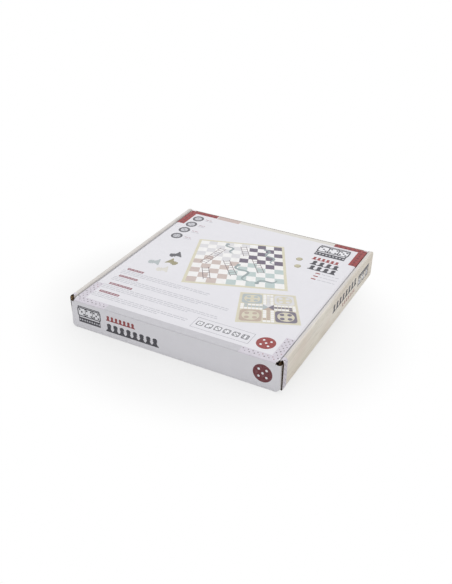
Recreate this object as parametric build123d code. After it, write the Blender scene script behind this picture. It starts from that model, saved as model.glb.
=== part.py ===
from build123d import *
import os
from math import cos, radians, sin, sqrt

# A ludo set in a flat mailer carton, in millimetres.
# X runs along the hinge wall, Y from the hinge wall to the tuck wall, Z up from the table.
# The carton is one sheet of corrugated board: base, hinge wall, tuck wall, two side walls rolled
# double over the corner flaps, and a lid with a tuck flap and two dust flaps.
# Under the lid lie the playing board, two folded spacers with dividers, the pawns, dice and rules.

# Driving dimensions of the carton
case_width = 300.0
case_depth = 303.0
case_height = 43.5
sheet = 1.5
layer_gap = 1.2
foot_round = 5.0

# Rolled side walls
rim_radius = 3.2
side_end_setback = 2.5
lock_tab_length = 40.0
lock_tab_spacing = 150.0
lock_slot_gap = 0.3
lock_tab_floor_gap = 0.2

# Corner flaps of the end walls, between the layers of the side walls
corner_flap_length = 75.0
corner_flap_round = 8.0
corner_flap_relief = 4.4

# Lid and its creases
lid_drop = 2.4
lid_side_gap = 0.4
lid_tuck_gap = 0.3
crease_gap = 0.3
corner_cut_width = 4.8
corner_cut_length = 8.7
wall_scoop_width = 9.4
wall_scoop_depth = 2.4
wall_scoop_lip = 0.3
wall_scoop_low_at = 3.6
tuck_wall_drop = 1.7

# Tuck flap, leaning inwards so that it slides past the tuck wall
tuck_depth = 30.0
tuck_side_gap = 6.5
tuck_round = 12.0
tuck_lean = 5.0

# Dust flaps, shallow near the hinge so that they swing clear of the rims
dust_depth = 28.0
dust_full_at = 170.0
dust_start = 10.0
dust_slope = ((16.0, 3.0), (34.0, 9.5), (66.0, 18.0))
dust_end_gap = 6.0
dust_tip_cut = 10.0
dust_lean = 4.0

# Playing board and the card that carries it
board_thickness = 8.0
board_round = 9.0
board_bevel = 0.6
board_side_gap = 4.6
board_hinge_gap = 15.0
board_tuck_gap = 6.2
board_headroom = 2.2
trough_width = 100.0
spacer_gap = 0.75
spacer_hinge_gap = 1.0
divider_end_inset = 6.0
divider_gap = 0.3
divider_tab_height = 12.0
divider_tab_reach = 2.0
compartments = 5

# Loose pieces
pawn_headroom = 2.9
pawn_foot_radius = 7.5
pawn_foot_height = 2.4
pawn_foot_bevel = 0.5
pawn_neck_radius = 2.9
pawn_collar_radius = 4.2
pawn_head_radius = 4.7
pawn_waist_flare = 1.2
pawn_waist_at = 0.3
pawn_pitch = 24.0
pawns_per_side = 4
die_size = 15.0
die_round = 1.6
die_pip_radius = 1.4
die_pip_depth = 0.55
die_pip_pitch = 3.75
die_pitch = 24.0
die_1_shift = 6.0
die_2_shift = -8.0
rules_width = 40.0
rules_length = 50.0
rules_thickness = 2.4
rules_fold = 0.9
rules_gap = 2.6

# How far a cutting block runs past what it cuts, and how exactly an edge is found
over = 1.0
near_enough = 0.01

# Sizes that follow from those above
half_width = case_width / 2
half_depth = case_depth / 2
crease_round = 0.98 * sheet / 2
fold_round = 0.95 * sheet
flap_out = half_width - sheet - layer_gap
inner_out = flap_out - sheet - layer_gap
inner_in = inner_out - sheet
rim_low = case_height - rim_radius
side_reach = half_depth - side_end_setback
end_wall_in = half_depth - sheet

lid_top = case_height - lid_drop
lid_under = lid_top - sheet
crease_z = lid_top - sheet / 2
hinge_y = -half_depth + sheet / 2
crease_start = sheet / 2 + crease_gap
lid_half = inner_in - lid_side_gap
lid_near = hinge_y + crease_start
tuck_face = end_wall_in - lid_tuck_gap
tuck_axis_y = tuck_face - sheet / 2
dust_axis_x = lid_half - sheet / 2

board_top = lid_under - board_headroom
deck_z = board_top - board_thickness
board_half = inner_in - board_side_gap
board_near = -end_wall_in + board_hinge_gap
board_far = tuck_face - sheet - board_tuck_gap


def reach(depth, lean):
    """How far a leaning flap's inner face comes in from its axis at its free edge."""
    return sheet / 2 * cos(radians(lean)) + depth * sin(radians(lean))


spacer_out = dust_axis_x - reach(dust_depth, dust_lean) - spacer_gap
spacer_near = -end_wall_in + spacer_hinge_gap
spacer_far = tuck_axis_y - reach(tuck_depth, tuck_lean) - spacer_gap
trough_half = trough_width / 2
divider_first = spacer_near + divider_end_inset + sheet / 2
divider_last = spacer_far - divider_end_inset - sheet / 2
divider_pitch = (divider_last - divider_first) / compartments
divider_tab_z = (sheet + deck_z) / 2
pawn_height = deck_z - sheet - pawn_headroom

os.makedirs("parts", exist_ok=True)


def save(shape, name):
    """Write one piece under the name of its node."""
    export_step(shape, f"parts/{name}.step")


def block(x0, x1, y0, y1, z0, z1):
    """A box between two corners."""
    size = Box(x1 - x0, y1 - y0, z1 - z0)
    return Pos((x0 + x1) / 2, (y0 + y1) / 2, (z0 + z1) / 2) * size


def mirrored(shape, side):
    """The shape as made for +X, or its mirror image for -X."""
    return shape if side > 0 else mirror(shape, about=Plane.YZ)


def edges_at(shape, axis, **where):
    """Edges along an axis whose middle lies at the given coordinates."""
    found = []
    for edge in shape.edges().filter_by(axis):
        middle = edge.center()
        if all(abs(getattr(middle, name) - value) < near_enough for name, value in where.items()):
            found.append(edge)
    return found


def base_panel():
    """Floor of the carton, with two slots a side for the lock tabs."""
    base = block(-half_width + sheet, half_width - sheet, -end_wall_in, end_wall_in, 0, sheet)
    for side in (-1, 1):
        for place in (-1, 1):
            x0 = inner_in - lock_slot_gap
            x1 = inner_out + lock_slot_gap
            y = place * lock_tab_spacing / 2
            reach_y = lock_tab_length / 2 + lock_slot_gap
            slot = block(x0, x1, y - reach_y, y + reach_y, -over, sheet + over)
            base -= mirrored(slot, side)
    return base


def folded_wall(outline, y_in, outward):
    """End wall from its outline in X and Z, with round feet, rounded where it folds to base and flaps."""
    face = make_face(outline)
    feet = [corner for corner in face.vertices() if corner.Y < near_enough]
    face = fillet(feet, foot_round)
    wall = extrude(Plane.XZ.offset(-y_in) * face, -outward * sheet)
    y_out = y_in + outward * sheet
    folds = []
    for edge in wall.edges():
        middle = edge.center()
        below_rim = middle.Z < lid_top - sheet - wall_scoop_depth
        if abs(middle.Y - y_out) < near_enough and below_rim:
            folds.append(edge)
    return fillet(folds, fold_round)


def hinge_wall():
    """End wall under the lid's crease, with a scoop at each top corner and a rounded top."""
    scoop_x = flap_out - wall_scoop_width
    low_x = flap_out - wall_scoop_low_at
    low_z = lid_top - wall_scoop_depth
    lip_z = low_z + wall_scoop_lip
    outline = (
        Line((-flap_out, 0), (flap_out, 0))
        + Line((flap_out, 0), (flap_out, lip_z))
        + ThreePointArc((flap_out, lip_z), (low_x, low_z), (scoop_x, lid_top))
        + Line((scoop_x, lid_top), (-scoop_x, lid_top))
        + ThreePointArc((-scoop_x, lid_top), (-low_x, low_z), (-flap_out, lip_z))
        + Line((-flap_out, lip_z), (-flap_out, 0))
    )
    wall = folded_wall(outline, -end_wall_in, -1)
    return fillet(edges_at(wall, Axis.X, Z=lid_top), crease_round)


def tuck_wall():
    """End wall that the tuck flap slides behind, with a raw top edge lower than the lid."""
    top = lid_top - tuck_wall_drop
    outline = Polyline((-flap_out, 0), (flap_out, 0), (flap_out, top), (-flap_out, top), close=True)
    return folded_wall(outline, end_wall_in, 1)


def corner_flap(side, end):
    """Flap of an end wall, held between the layers of a side wall."""
    y_root = end * end_wall_in
    y_tip = end * (end_wall_in - corner_flap_length)
    y0 = min(y_root, y_tip)
    y1 = max(y_root, y_tip)
    top = case_height - sheet - 2 * layer_gap
    flap = block(inner_out + layer_gap, flap_out, y0, y1, sheet + layer_gap, top)
    if end < 0:
        relief_y = -end_wall_in + corner_flap_relief
        flap -= block(0, half_width, -half_depth, relief_y, lid_top - wall_scoop_depth, case_height)
    tip = edges_at(flap, Axis.X, Y=y_tip)
    return mirrored(fillet(tip, corner_flap_round), side)


def side_wall_outer(side):
    """Outer layer of a rolled side wall, rounded where it folds up from the base."""
    wall = block(half_width - sheet, half_width, -side_reach, side_reach, 0, rim_low)
    return mirrored(fillet(edges_at(wall, Axis.Y, X=half_width, Z=0), fold_round), side)


def side_rim(side):
    """Double crease that carries the sheet over from the outer layer to the inner one."""
    reach_y = side_reach + over
    outside = block(inner_in, half_width, -reach_y, reach_y, 0, case_height)
    outside = fillet(edges_at(outside, Axis.Y, Z=case_height), rim_radius)
    hollow = block(inner_out, half_width - sheet, -reach_y, reach_y, 0, case_height - sheet)
    hollow = fillet(edges_at(hollow, Axis.Y, Z=case_height - sheet), rim_radius - fold_round)
    ends = block(0, half_width, -side_reach, side_reach, rim_low, case_height)
    return mirrored((outside - hollow) & ends, side)


def side_wall_inner(side):
    """Inner layer of a rolled side wall, with two lock tabs in the slots of the base."""
    wall = block(inner_in, inner_out, -side_reach, side_reach, sheet, rim_low)
    for place in (-1, 1):
        y = place * lock_tab_spacing / 2
        half_tab = lock_tab_length / 2
        wall += block(inner_in, inner_out, y - half_tab, y + half_tab, lock_tab_floor_gap, sheet + over)
    return mirrored(wall, side)


def lid_panel():
    """Top of the lid between the rims, with cut corners at the hinge and rounded creases."""
    outline = Polyline(
        (-lid_half + corner_cut_width, lid_near),
        (lid_half - corner_cut_width, lid_near),
        (lid_half, lid_near + corner_cut_length),
        (lid_half, tuck_face),
        (-lid_half, tuck_face),
        (-lid_half, lid_near + corner_cut_length),
        close=True,
    )
    face = Plane.XY.offset(lid_under) * make_face(outline)
    lid = extrude(face, sheet)
    creases = edges_at(lid, Axis.X, Y=tuck_face)
    creases += edges_at(lid, Axis.Y, X=lid_half)
    creases += edges_at(lid, Axis.Y, X=-lid_half)
    return fillet(creases, crease_round)


def tuck_flap():
    """Flap at the lid's far crease, behind the tuck wall, with rounded corners."""
    half = lid_half - tuck_side_gap
    flap = block(-half, half, -sheet / 2, sheet / 2, -tuck_depth, -crease_start)
    corners = edges_at(flap, Axis.Y, Z=-tuck_depth)
    flap = fillet(corners, tuck_round)
    return Pos(0, tuck_axis_y, crease_z) * Rot(-tuck_lean, 0, 0) * flap


def dust_flap(side):
    """Flap at a side crease of the lid, with a slanting edge at the hinge end."""
    near = hinge_y + dust_start
    far = tuck_axis_y - dust_end_gap
    slope = [(hinge_y + distance, -depth) for distance, depth in reversed(dust_slope)]
    outline = Polyline(
        (near, -crease_start),
        (far, -crease_start),
        (far, -dust_depth + dust_tip_cut),
        (far - dust_tip_cut, -dust_depth),
        (hinge_y + dust_full_at, -dust_depth),
        *slope,
        close=True,
    )
    face = Plane.YZ.offset(-sheet / 2) * make_face(outline)
    flap = extrude(face, sheet)
    flap = Pos(dust_axis_x, 0, crease_z) * Rot(0, dust_lean, 0) * flap
    return mirrored(flap, side)


def game_board():
    """Plywood board printed on both faces, with rounded corners and eased edges."""
    board = block(-board_half, board_half, board_near, board_far, deck_z, board_top)
    board = fillet(board.edges().filter_by(Axis.Z), board_round)
    rims = board.faces().sort_by(Axis.Z)
    return chamfer(rims[0].edges() + rims[-1].edges(), board_bevel)


def spacer_deck(side):
    """Top of a folded card spacer, which the board lies on."""
    deck = block(trough_half, spacer_out, spacer_near, spacer_far, deck_z - sheet, deck_z)
    folds = edges_at(deck, Axis.Y, Z=deck_z)
    return mirrored(fillet(folds, fold_round), side)


def spacer_outer_wall(side):
    """Leg of a spacer beside the carton's wall."""
    wall = block(spacer_out - sheet, spacer_out, spacer_near, spacer_far, sheet, deck_z - sheet)
    return mirrored(wall, side)


def spacer_inner_wall(side):
    """Leg of a spacer along the trough, with a slit for the tab of each divider."""
    wall = block(trough_half, trough_half + sheet, spacer_near, spacer_far, sheet, deck_z - sheet)
    slit_half = sheet / 2 + divider_gap
    slit_reach = divider_tab_height / 2 + divider_gap
    for number in range(compartments + 1):
        y = divider_first + number * divider_pitch
        wall -= block(
            trough_half - over,
            trough_half + sheet + over,
            y - slit_half,
            y + slit_half,
            divider_tab_z - slit_reach,
            divider_tab_z + slit_reach,
        )
    return mirrored(wall, side)


def divider(number):
    """Card wall across the trough, with a tab at each end through the spacer's slit."""
    y = divider_first + number * divider_pitch
    half = trough_half - divider_gap
    wall = block(-half, half, y - sheet / 2, y + sheet / 2, sheet, deck_z - divider_gap)
    tab_half = trough_half + sheet + divider_tab_reach
    low = divider_tab_z - divider_tab_height / 2
    high = divider_tab_z + divider_tab_height / 2
    return wall + block(-tab_half, tab_half, y - sheet / 2, y + sheet / 2, low, high)


def compartment_y(number):
    """Middle of a compartment, counted from the hinge wall."""
    return divider_first + (number + 0.5) * divider_pitch


def pawn():
    """Turned pawn: a foot, a hollow waist, a collar and a ball for a head."""
    head_z = pawn_height - pawn_head_radius
    neck_top = head_z - sqrt(pawn_head_radius**2 - pawn_neck_radius**2)
    collar_half = pawn_collar_radius - pawn_neck_radius
    neck_low = neck_top - collar_half
    foot_edge = pawn_foot_radius - pawn_foot_bevel
    waist_z = pawn_foot_height + pawn_waist_at * (neck_low - pawn_foot_height)
    foot = Polyline(
        (0, pawn_height),
        (0, 0),
        (foot_edge, 0),
        (pawn_foot_radius, pawn_foot_bevel),
        (pawn_foot_radius, pawn_foot_height - pawn_foot_bevel),
        (foot_edge, pawn_foot_height),
    )
    waist = ThreePointArc(
        (foot_edge, pawn_foot_height),
        (pawn_neck_radius + pawn_waist_flare, waist_z),
        (pawn_neck_radius, neck_low),
    )
    collar = ThreePointArc(
        (pawn_neck_radius, neck_low),
        (pawn_collar_radius, (neck_low + neck_top) / 2),
        (pawn_neck_radius, neck_top),
    )
    head = ThreePointArc((pawn_neck_radius, neck_top), (pawn_head_radius, head_z), (0, pawn_height))
    outline = foot + waist + collar + head
    return revolve(Plane.XZ * make_face(outline), Axis.Z)


def pip_places(count):
    """Places of the pips on one face of a die, in steps of a pip pitch."""
    diagonal = [(-1, -1), (1, 1)]
    other = [(-1, 1), (1, -1)]
    sides = [(-1, 0), (1, 0)]
    places = [(0, 0)] if count % 2 else []
    if count > 1:
        places += diagonal
    if count > 3:
        places += other
    if count > 5:
        places += sides
    return places


def die():
    """Wooden die with round corners and sunk pips; opposite faces add up to seven."""
    cube = fillet(Box(die_size, die_size, die_size).edges(), die_round)
    ball_radius = (die_pip_radius**2 + die_pip_depth**2) / (2 * die_pip_depth)
    ball_height = die_size / 2 + ball_radius - die_pip_depth
    turns = {
        1: Rot(0, 0, 0),
        6: Rot(180, 0, 0),
        2: Rot(90, 0, 0),
        5: Rot(-90, 0, 0),
        3: Rot(0, 90, 0),
        4: Rot(0, -90, 0),
    }
    for count, turn in turns.items():
        for u, v in pip_places(count):
            cube -= turn * Pos(u * die_pip_pitch, v * die_pip_pitch, ball_height) * Sphere(ball_radius)
    return cube


def rules_leaflet():
    """Rules, folded small, with a round fold at one side."""
    y = compartment_y(compartments // 2)
    x0 = -trough_half + rules_gap
    y0 = y - rules_length / 2
    leaflet = block(x0, x0 + rules_width, y0, y0 + rules_length, sheet, sheet + rules_thickness)
    fold = edges_at(leaflet, Axis.Y, X=x0)
    return fillet(fold, rules_fold)


def save_carton():
    """Panels of the carton's one sheet."""
    save(base_panel(), "base_panel")
    save(hinge_wall(), "hinge_wall")
    save(tuck_wall(), "tuck_wall")
    save(lid_panel(), "lid_panel")
    save(tuck_flap(), "tuck_flap")
    for side, hand in ((-1, "left"), (1, "right")):
        save(side_wall_outer(side), f"side_wall_outer_{hand}")
        save(side_rim(side), f"side_rim_{hand}")
        save(side_wall_inner(side), f"side_wall_inner_{hand}")
        save(dust_flap(side), f"dust_flap_{hand}")
        save(corner_flap(side, -1), f"corner_flap_hinge_{hand}")
        save(corner_flap(side, 1), f"corner_flap_tuck_{hand}")


def save_card():
    """Folded card that carries the board and parts the loose pieces."""
    for side, hand in ((-1, "left"), (1, "right")):
        save(spacer_deck(side), f"spacer_deck_{hand}")
        save(spacer_outer_wall(side), f"spacer_outer_wall_{hand}")
        save(spacer_inner_wall(side), f"spacer_inner_wall_{hand}")
    for number in range(compartments + 1):
        save(divider(number), f"divider_{number + 1}")


def save_loose_pieces():
    """Board, pawns in rows of one colour, dice and rules."""
    save(game_board(), "game_board")
    save(rules_leaflet(), "rules_leaflet")
    turned = pawn()
    rows = {"slate": 0, "blue": 1, "sage": 3, "beige": 4}
    for colour, number in rows.items():
        for place in range(pawns_per_side):
            x = (place - (pawns_per_side - 1) / 2) * pawn_pitch
            save(Pos(x, compartment_y(number), sheet) * turned, f"pawn_{colour}_{place + 1}")
    cube = die()
    middle = compartment_y(compartments // 2)
    die_z = sheet + die_size / 2
    first_x = trough_half - die_size
    save(Pos(first_x, middle + die_1_shift, die_z) * Rot(90, 0, 0) * cube, "die_1")
    save(Pos(first_x - die_pitch, middle + die_2_shift, die_z) * Rot(0, 90, 0) * cube, "die_2")


save_carton()
save_card()
save_loose_pieces()
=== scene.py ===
import random
from math import atan2, ceil, copysign, cos, pi, radians, sin, sqrt, tan, tau

import bmesh
import bpy
import numpy as np
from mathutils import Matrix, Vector


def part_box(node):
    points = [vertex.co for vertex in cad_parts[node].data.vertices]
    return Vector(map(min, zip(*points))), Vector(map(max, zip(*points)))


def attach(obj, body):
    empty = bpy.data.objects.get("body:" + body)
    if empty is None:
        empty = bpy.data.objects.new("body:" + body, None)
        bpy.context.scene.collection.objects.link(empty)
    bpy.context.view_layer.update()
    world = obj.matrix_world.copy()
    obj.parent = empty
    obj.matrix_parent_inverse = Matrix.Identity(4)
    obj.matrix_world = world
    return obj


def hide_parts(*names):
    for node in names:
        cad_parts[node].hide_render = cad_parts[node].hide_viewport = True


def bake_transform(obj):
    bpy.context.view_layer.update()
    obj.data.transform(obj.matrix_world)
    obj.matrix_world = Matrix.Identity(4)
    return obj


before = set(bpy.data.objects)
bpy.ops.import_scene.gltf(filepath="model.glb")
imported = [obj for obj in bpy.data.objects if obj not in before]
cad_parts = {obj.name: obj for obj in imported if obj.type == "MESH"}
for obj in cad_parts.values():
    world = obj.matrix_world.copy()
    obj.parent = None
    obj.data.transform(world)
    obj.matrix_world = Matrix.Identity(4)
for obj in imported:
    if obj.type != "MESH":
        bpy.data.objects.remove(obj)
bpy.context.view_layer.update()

# Table, light and camera. The carton lies on a white table in a light tent, lit softly from all
# round and a little more from above, and is seen from above its near right corner. To the camera
# the table glows white, with a painted shadow round the carton, where its glow is dimmer and thinner.
mm = 0.001
white = (1.0, 1.0, 1.0, 1.0)
picture_height = 584
focal_pixels = 774.8
sensor_height = 36.0
camera_azimuth = radians(28.40)
camera_elevation = radians(31.26)
camera_distance = 1071.7
camera_target = Vector((-12.85, 16.28, 0.0))
camera_clip = (0.01, 100.0)
table_half = 20.0
table_colour = 0.95
# Painted shadow: the table's glow, seen only by the camera, is thinner and dimmer near the carton and
# full white beyond the given distances.
table_glow_share_painted_shadow = (0.82, 1.0)
table_glow_strength_painted_shadow = (0.88, 1.0)
painted_shadow_range = (0.148, 0.276)
painted_shadow_stretch = (1.0, 1.14, 1.0)
painted_shadow_shift = (0.0, 0.045, 0.0)
tent_strength = 0.515
top_light_power = 15.1
top_light_size = 1.6
top_light_place = (0.0, 0.15, 1.6)

scene = bpy.context.scene
scene.view_settings.view_transform = "Standard"


def feed(tree, socket, value):
    """Link a socket to another one, or set it to a plain value."""
    if isinstance(value, bpy.types.NodeSocket):
        tree.links.new(value, socket)
    else:
        socket.default_value = value


def shader_node(tree, kind, settings=None, **inputs):
    """A shader node with its settings, and its inputs fed by their names."""
    made = tree.nodes.new("ShaderNode" + kind)
    for name, value in (settings or {}).items():
        setattr(made, name, value)
    for name, value in inputs.items():
        feed(tree, made.inputs[name.replace("_", " ")], value)
    return made


def object_place(tree, stretch=(1.0, 1.0, 1.0), shift=(0.0, 0.0, 0.0)):
    """Place on the object itself, stretched and moved."""
    place = shader_node(tree, "TexCoord").outputs["Object"]
    return shader_node(tree, "Mapping", Vector=place, Scale=stretch, Location=shift).outputs[0]


def combine(tree, operation, *values):
    """A maths node on values or sockets."""
    made = shader_node(tree, "Math", {"operation": operation})
    for socket, value in zip(made.inputs, values):
        feed(tree, socket, value)
    return made.outputs[0]


def mix_shader(tree, share, first, second):
    """Shader between two others."""
    made = shader_node(tree, "MixShader", Fac=share)
    tree.links.new(first.outputs[0], made.inputs[1])
    tree.links.new(second.outputs[0], made.inputs[2])
    return made.outputs[0]


def add_object(name, data):
    """Put mesh, lamp or camera data into the scene."""
    made = bpy.data.objects.new(name, data)
    scene.collection.objects.link(made)
    return made


def background_rays(tree):
    """1 where the camera, or a reflection or clear material, looks straight at the background."""
    path = shader_node(tree, "LightPath")
    total = path.outputs["Is Camera Ray"]
    for name in ("Is Glossy Ray", "Is Transmission Ray"):
        total = combine(tree, "MAXIMUM", total, path.outputs[name])
    return total


tent = bpy.data.worlds.new("light_tent")
tent.use_nodes = True
tent_tree = tent.node_tree
tent_tree.nodes.clear()
tent_light = shader_node(tent_tree, "Background", Color=white, Strength=tent_strength)
tent_white = shader_node(tent_tree, "Background", Color=white, Strength=1.0)
tent_mix = mix_shader(tent_tree, background_rays(tent_tree), tent_light, tent_white)
shader_node(tent_tree, "OutputWorld", Surface=tent_mix)
scene.world = tent

table_mesh = bpy.data.meshes.new("table")
table_ends = ((-1, -1), (1, -1), (1, 1), (-1, 1))
table_mesh.from_pydata([(u * table_half, v * table_half, 0) for u, v in table_ends], [], [(0, 1, 2, 3)])
table = add_object("table", table_mesh)
table_white_painted_shadow = bpy.data.materials.new("table_white_painted_shadow")
table_white_painted_shadow.use_nodes = True
table_tree = table_white_painted_shadow.node_tree
table_tree.nodes.clear()
table_shade = shader_node(table_tree, "BsdfDiffuse", Color=(table_colour,) * 3 + (1.0,))
# The glow fades in with distance from the carton: a painted shadow.
table_place = object_place(table_tree, painted_shadow_stretch, painted_shadow_shift)
painted_shadow_distance = shader_node(table_tree, "VectorMath", {"operation": "LENGTH"}, Vector=table_place)
painted_shadow_fades = [
    shader_node(
        table_tree, "MapRange", {"interpolation_type": "SMOOTHSTEP"},
        Value=painted_shadow_distance.outputs["Value"],
        From_Min=painted_shadow_range[0], From_Max=painted_shadow_range[1], To_Min=near, To_Max=far,
    ).outputs[0]
    for near, far in (table_glow_share_painted_shadow, table_glow_strength_painted_shadow)
]
table_glow_painted_shadow = shader_node(table_tree, "Emission", Color=white, Strength=painted_shadow_fades[1])
glow_share_painted_shadow = combine(table_tree, "MULTIPLY", background_rays(table_tree), painted_shadow_fades[0])
table_mix = mix_shader(table_tree, glow_share_painted_shadow, table_shade, table_glow_painted_shadow)
shader_node(table_tree, "OutputMaterial", Surface=table_mix)
table_mesh.materials.append(table_white_painted_shadow)

top_lamp = bpy.data.lights.new("top_light", "AREA")
top_lamp.energy = top_light_power
top_lamp.size = top_light_size
top_light = add_object("top_light", top_lamp)
top_light.location = top_light_place
top_light.rotation_mode = "QUATERNION"
top_light.rotation_quaternion = (-top_light.location).to_track_quat("-Z", "Y")

camera = add_object("photo_camera", bpy.data.cameras.new("photo_camera"))
camera_back = Vector((
    sin(camera_azimuth) * cos(camera_elevation),
    -cos(camera_azimuth) * cos(camera_elevation),
    sin(camera_elevation),
))
camera.location = (camera_target + camera_back * camera_distance) * mm
camera.rotation_mode = "QUATERNION"
camera.rotation_quaternion = (-camera_back).to_track_quat("-Z", "Y")
camera.data.sensor_width = sensor_height
camera.data.lens = focal_pixels * sensor_height / picture_height
camera.data.clip_start, camera.data.clip_end = camera_clip
scene.camera = camera

# Base and rolled side walls. The carton is cut from one sheet of E-flute board, white coated paper
# outside and brown kraft inside, with the flutes running from the hinge wall to the tuck wall. Each
# side wall goes up, over a double crease and down again, and tabs hold its inner layer in the base.
flute_pitch = 3.3
skin = 0.70
liner = 0.24
medium = 0.16
flute_clearance = 0.02
washboard = 0.010
paper_face, kraft_face, edge_face, flute_face = range(4)
first_print, second_print, third_print = range(4, 7)
crease_width = 1.1
crease_crush = 0.42
weld = 0.0002
rim_bend = 2.45
side_bend = 4.9
wall_bend = 0.8
row_step = 15.0
base_trim = 2.6
foot_round = 6.0
end_foot_round = 8.5
rim_end_round = 3.5
wall_lean = 1.05
left_setback = 2.4
white_paper_colour = (232, 231, 236)
raw_paper_colour = (222, 218, 214)
kraft_colour = (170, 143, 110)
medium_colour = (134, 113, 90)
# Painted shade: a dark brown for the tray's and hinge wall's cut ends and fluting, where the gaps in
# the board lie in shadow.
cut_end_painted_shade_colour = (64, 57, 49)
relief_depth = 0.00005
bend_step = radians(13)
wood_prints = {
    "left": ((224, 220, 217), (217, 212, 209), (205, 200, 194)),
    "right": ((247, 241, 231), (239, 226, 216), (219, 211, 193)),
}


def linear(colour, strength=1.0):
    """Scene colour from a colour given as three numbers up to 255."""
    parts = []
    for value in colour:
        share = value / 255 * strength
        parts.append(share / 12.92 if share <= 0.04045 else ((share + 0.055) / 1.055) ** 2.4)
    return (*parts, 1.0)


def cad(node):
    """Lowest and highest corner of a CAD node in millimetres, as one list of six."""
    low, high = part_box(node)
    return [value / mm for value in (*low, *high)]


def box_middle(box, axis):
    """Middle of a box along an axis."""
    return (box[axis] + box[axis + 3]) / 2


def mix_colour(tree, share, first, second):
    """Colour between two, by a share that changes over the surface."""
    made = shader_node(tree, "Mix", {"data_type": "RGBA"})
    for number, value in ((0, share), (6, first), (7, second)):
        feed(tree, made.inputs[number], value)
    return made.outputs[2]


def shades(tree, share, colour, low, high):
    """Colour between two strengths of one colour."""
    return mix_colour(tree, share, linear(colour, low), linear(colour, high))


def spread(tree, value, low, high, to_low=0.0, to_high=1.0):
    """A value stretched from one range to another, and held inside it."""
    return shader_node(
        tree, "MapRange", {"clamp": True},
        Value=value, From_Min=low, From_Max=high, To_Min=to_low, To_Max=to_high,
    ).outputs[0]


def noise(tree, scale, detail, rough=0.5, stretch=(1.0, 1.0, 1.0), place=None):
    """Cloudy noise on the object, stretched, or on a place given: its value, then its colour."""
    place = object_place(tree, stretch) if place is None else place
    made = shader_node(tree, "TexNoise", Vector=place, Scale=scale, Detail=detail, Roughness=rough)
    return made.outputs


def effect_group(name, inputs, outputs):
    """An empty shader node group with named number inputs and outputs."""
    tree = bpy.data.node_groups.new(name, "ShaderNodeTree")
    for title, value in inputs.items():
        socket = tree.interface.new_socket(title, in_out="INPUT", socket_type="NodeSocketFloat")
        socket.default_value = value
    for title in outputs:
        tree.interface.new_socket(title, in_out="OUTPUT", socket_type="NodeSocketFloat")
    return tree, tree.nodes.new("NodeGroupInput"), tree.nodes.new("NodeGroupOutput")


def paper_fibre_group():
    """Cloudy paper with long and short fibres in it: a mottle, the fibres, and their height."""
    tree, given, out = effect_group(
        "paper_fibre", {"Cloud Scale": 60.0, "Fibre Scale": 900.0}, ("Mottle", "Fibre", "Height")
    )
    cloud = noise(tree, given.outputs[0], 5.0, 0.6)
    along = noise(tree, given.outputs[1], 3.0, stretch=(1.0, 0.12, 0.5))
    across = noise(tree, given.outputs[1], 3.0, stretch=(0.15, 1.0, 0.4))
    fibre = combine(tree, "MAXIMUM", along[0], across[0])
    tree.links.new(cloud[0], out.inputs[0])
    tree.links.new(spread(tree, fibre, 0.45, 0.75), out.inputs[1])
    tree.links.new(fibre, out.inputs[2])
    return tree


def worn_crease_group():
    """Where a crease has cracked or rubbed the paper."""
    tree, given, out = effect_group("worn_crease", {"Grain": 500.0, "Wear": 0.5}, ("Mask",))
    crease = shader_node(tree, "Attribute", {"attribute_name": "crease"})
    rub = noise(tree, given.outputs[0], 4.0, 0.7)
    patches = noise(tree, 24.0, 2.0)
    rubbed = combine(tree, "MULTIPLY", spread(tree, rub[0], 0.42, 0.62), patches[0])
    worn = combine(tree, "MULTIPLY", rubbed, crease.outputs["Fac"])
    tree.links.new(combine(tree, "MULTIPLY", worn, given.outputs[1]), out.inputs[0])
    return tree


def wood_figure_group():
    """Straight-grained wood along Y: broad streaks, fine pores, and their height."""
    tree, given, out = effect_group(
        "wood_figure", {"Streak Scale": 90.0, "Pore Scale": 700.0}, ("Streak", "Pore", "Height")
    )
    bend = noise(tree, 14.0, 2.0, stretch=(1.0, 0.35, 1.0))["Color"]
    moved = shader_node(tree, "VectorMath", {"operation": "SCALE"}, Vector=bend, Scale=0.02)
    stretched = object_place(tree, (1.0, 0.045, 1.0))
    placed = shader_node(tree, "VectorMath", {"operation": "ADD"}, Vector=stretched)
    tree.links.new(moved.outputs[0], placed.inputs[1])
    streak = noise(tree, given.outputs[0], 4.0, 0.55, place=placed.outputs[0])
    pore = noise(tree, given.outputs[1], 2.0, 0.6, place=placed.outputs[0])
    tree.links.new(spread(tree, streak[0], 0.3, 0.7), out.inputs[0])
    tree.links.new(spread(tree, pore[0], 0.5, 0.72), out.inputs[1])
    tree.links.new(pore[0], out.inputs[2])
    return tree


paper_fibre = paper_fibre_group()
worn_crease = worn_crease_group()
wood_figure = wood_figure_group()


def effect(tree, group, **inputs):
    """Place an effect in a material with its own values."""
    made = tree.nodes.new("ShaderNodeGroup")
    made.node_tree = group
    for name, value in inputs.items():
        made.inputs[name.replace("_", " ")].default_value = value
    return made


def new_material(name, specular=0.3):
    """A material with its tree and its principled shader."""
    made = bpy.data.materials.new(name)
    made.use_nodes = True
    shader = made.node_tree.nodes["Principled BSDF"]
    shader.inputs["Specular IOR Level"].default_value = specular
    return made, made.node_tree, shader


def finish_surface(tree, shader, colour, roughness, height, bump):
    """Lead colour, roughness and relief to the shader."""
    relief = shader_node(tree, "Bump", Height=height, Distance=relief_depth, Strength=bump)
    tree.links.new(colour, shader.inputs["Base Color"])
    tree.links.new(roughness, shader.inputs["Roughness"])
    tree.links.new(relief.outputs[0], shader.inputs["Normal"])


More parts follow.
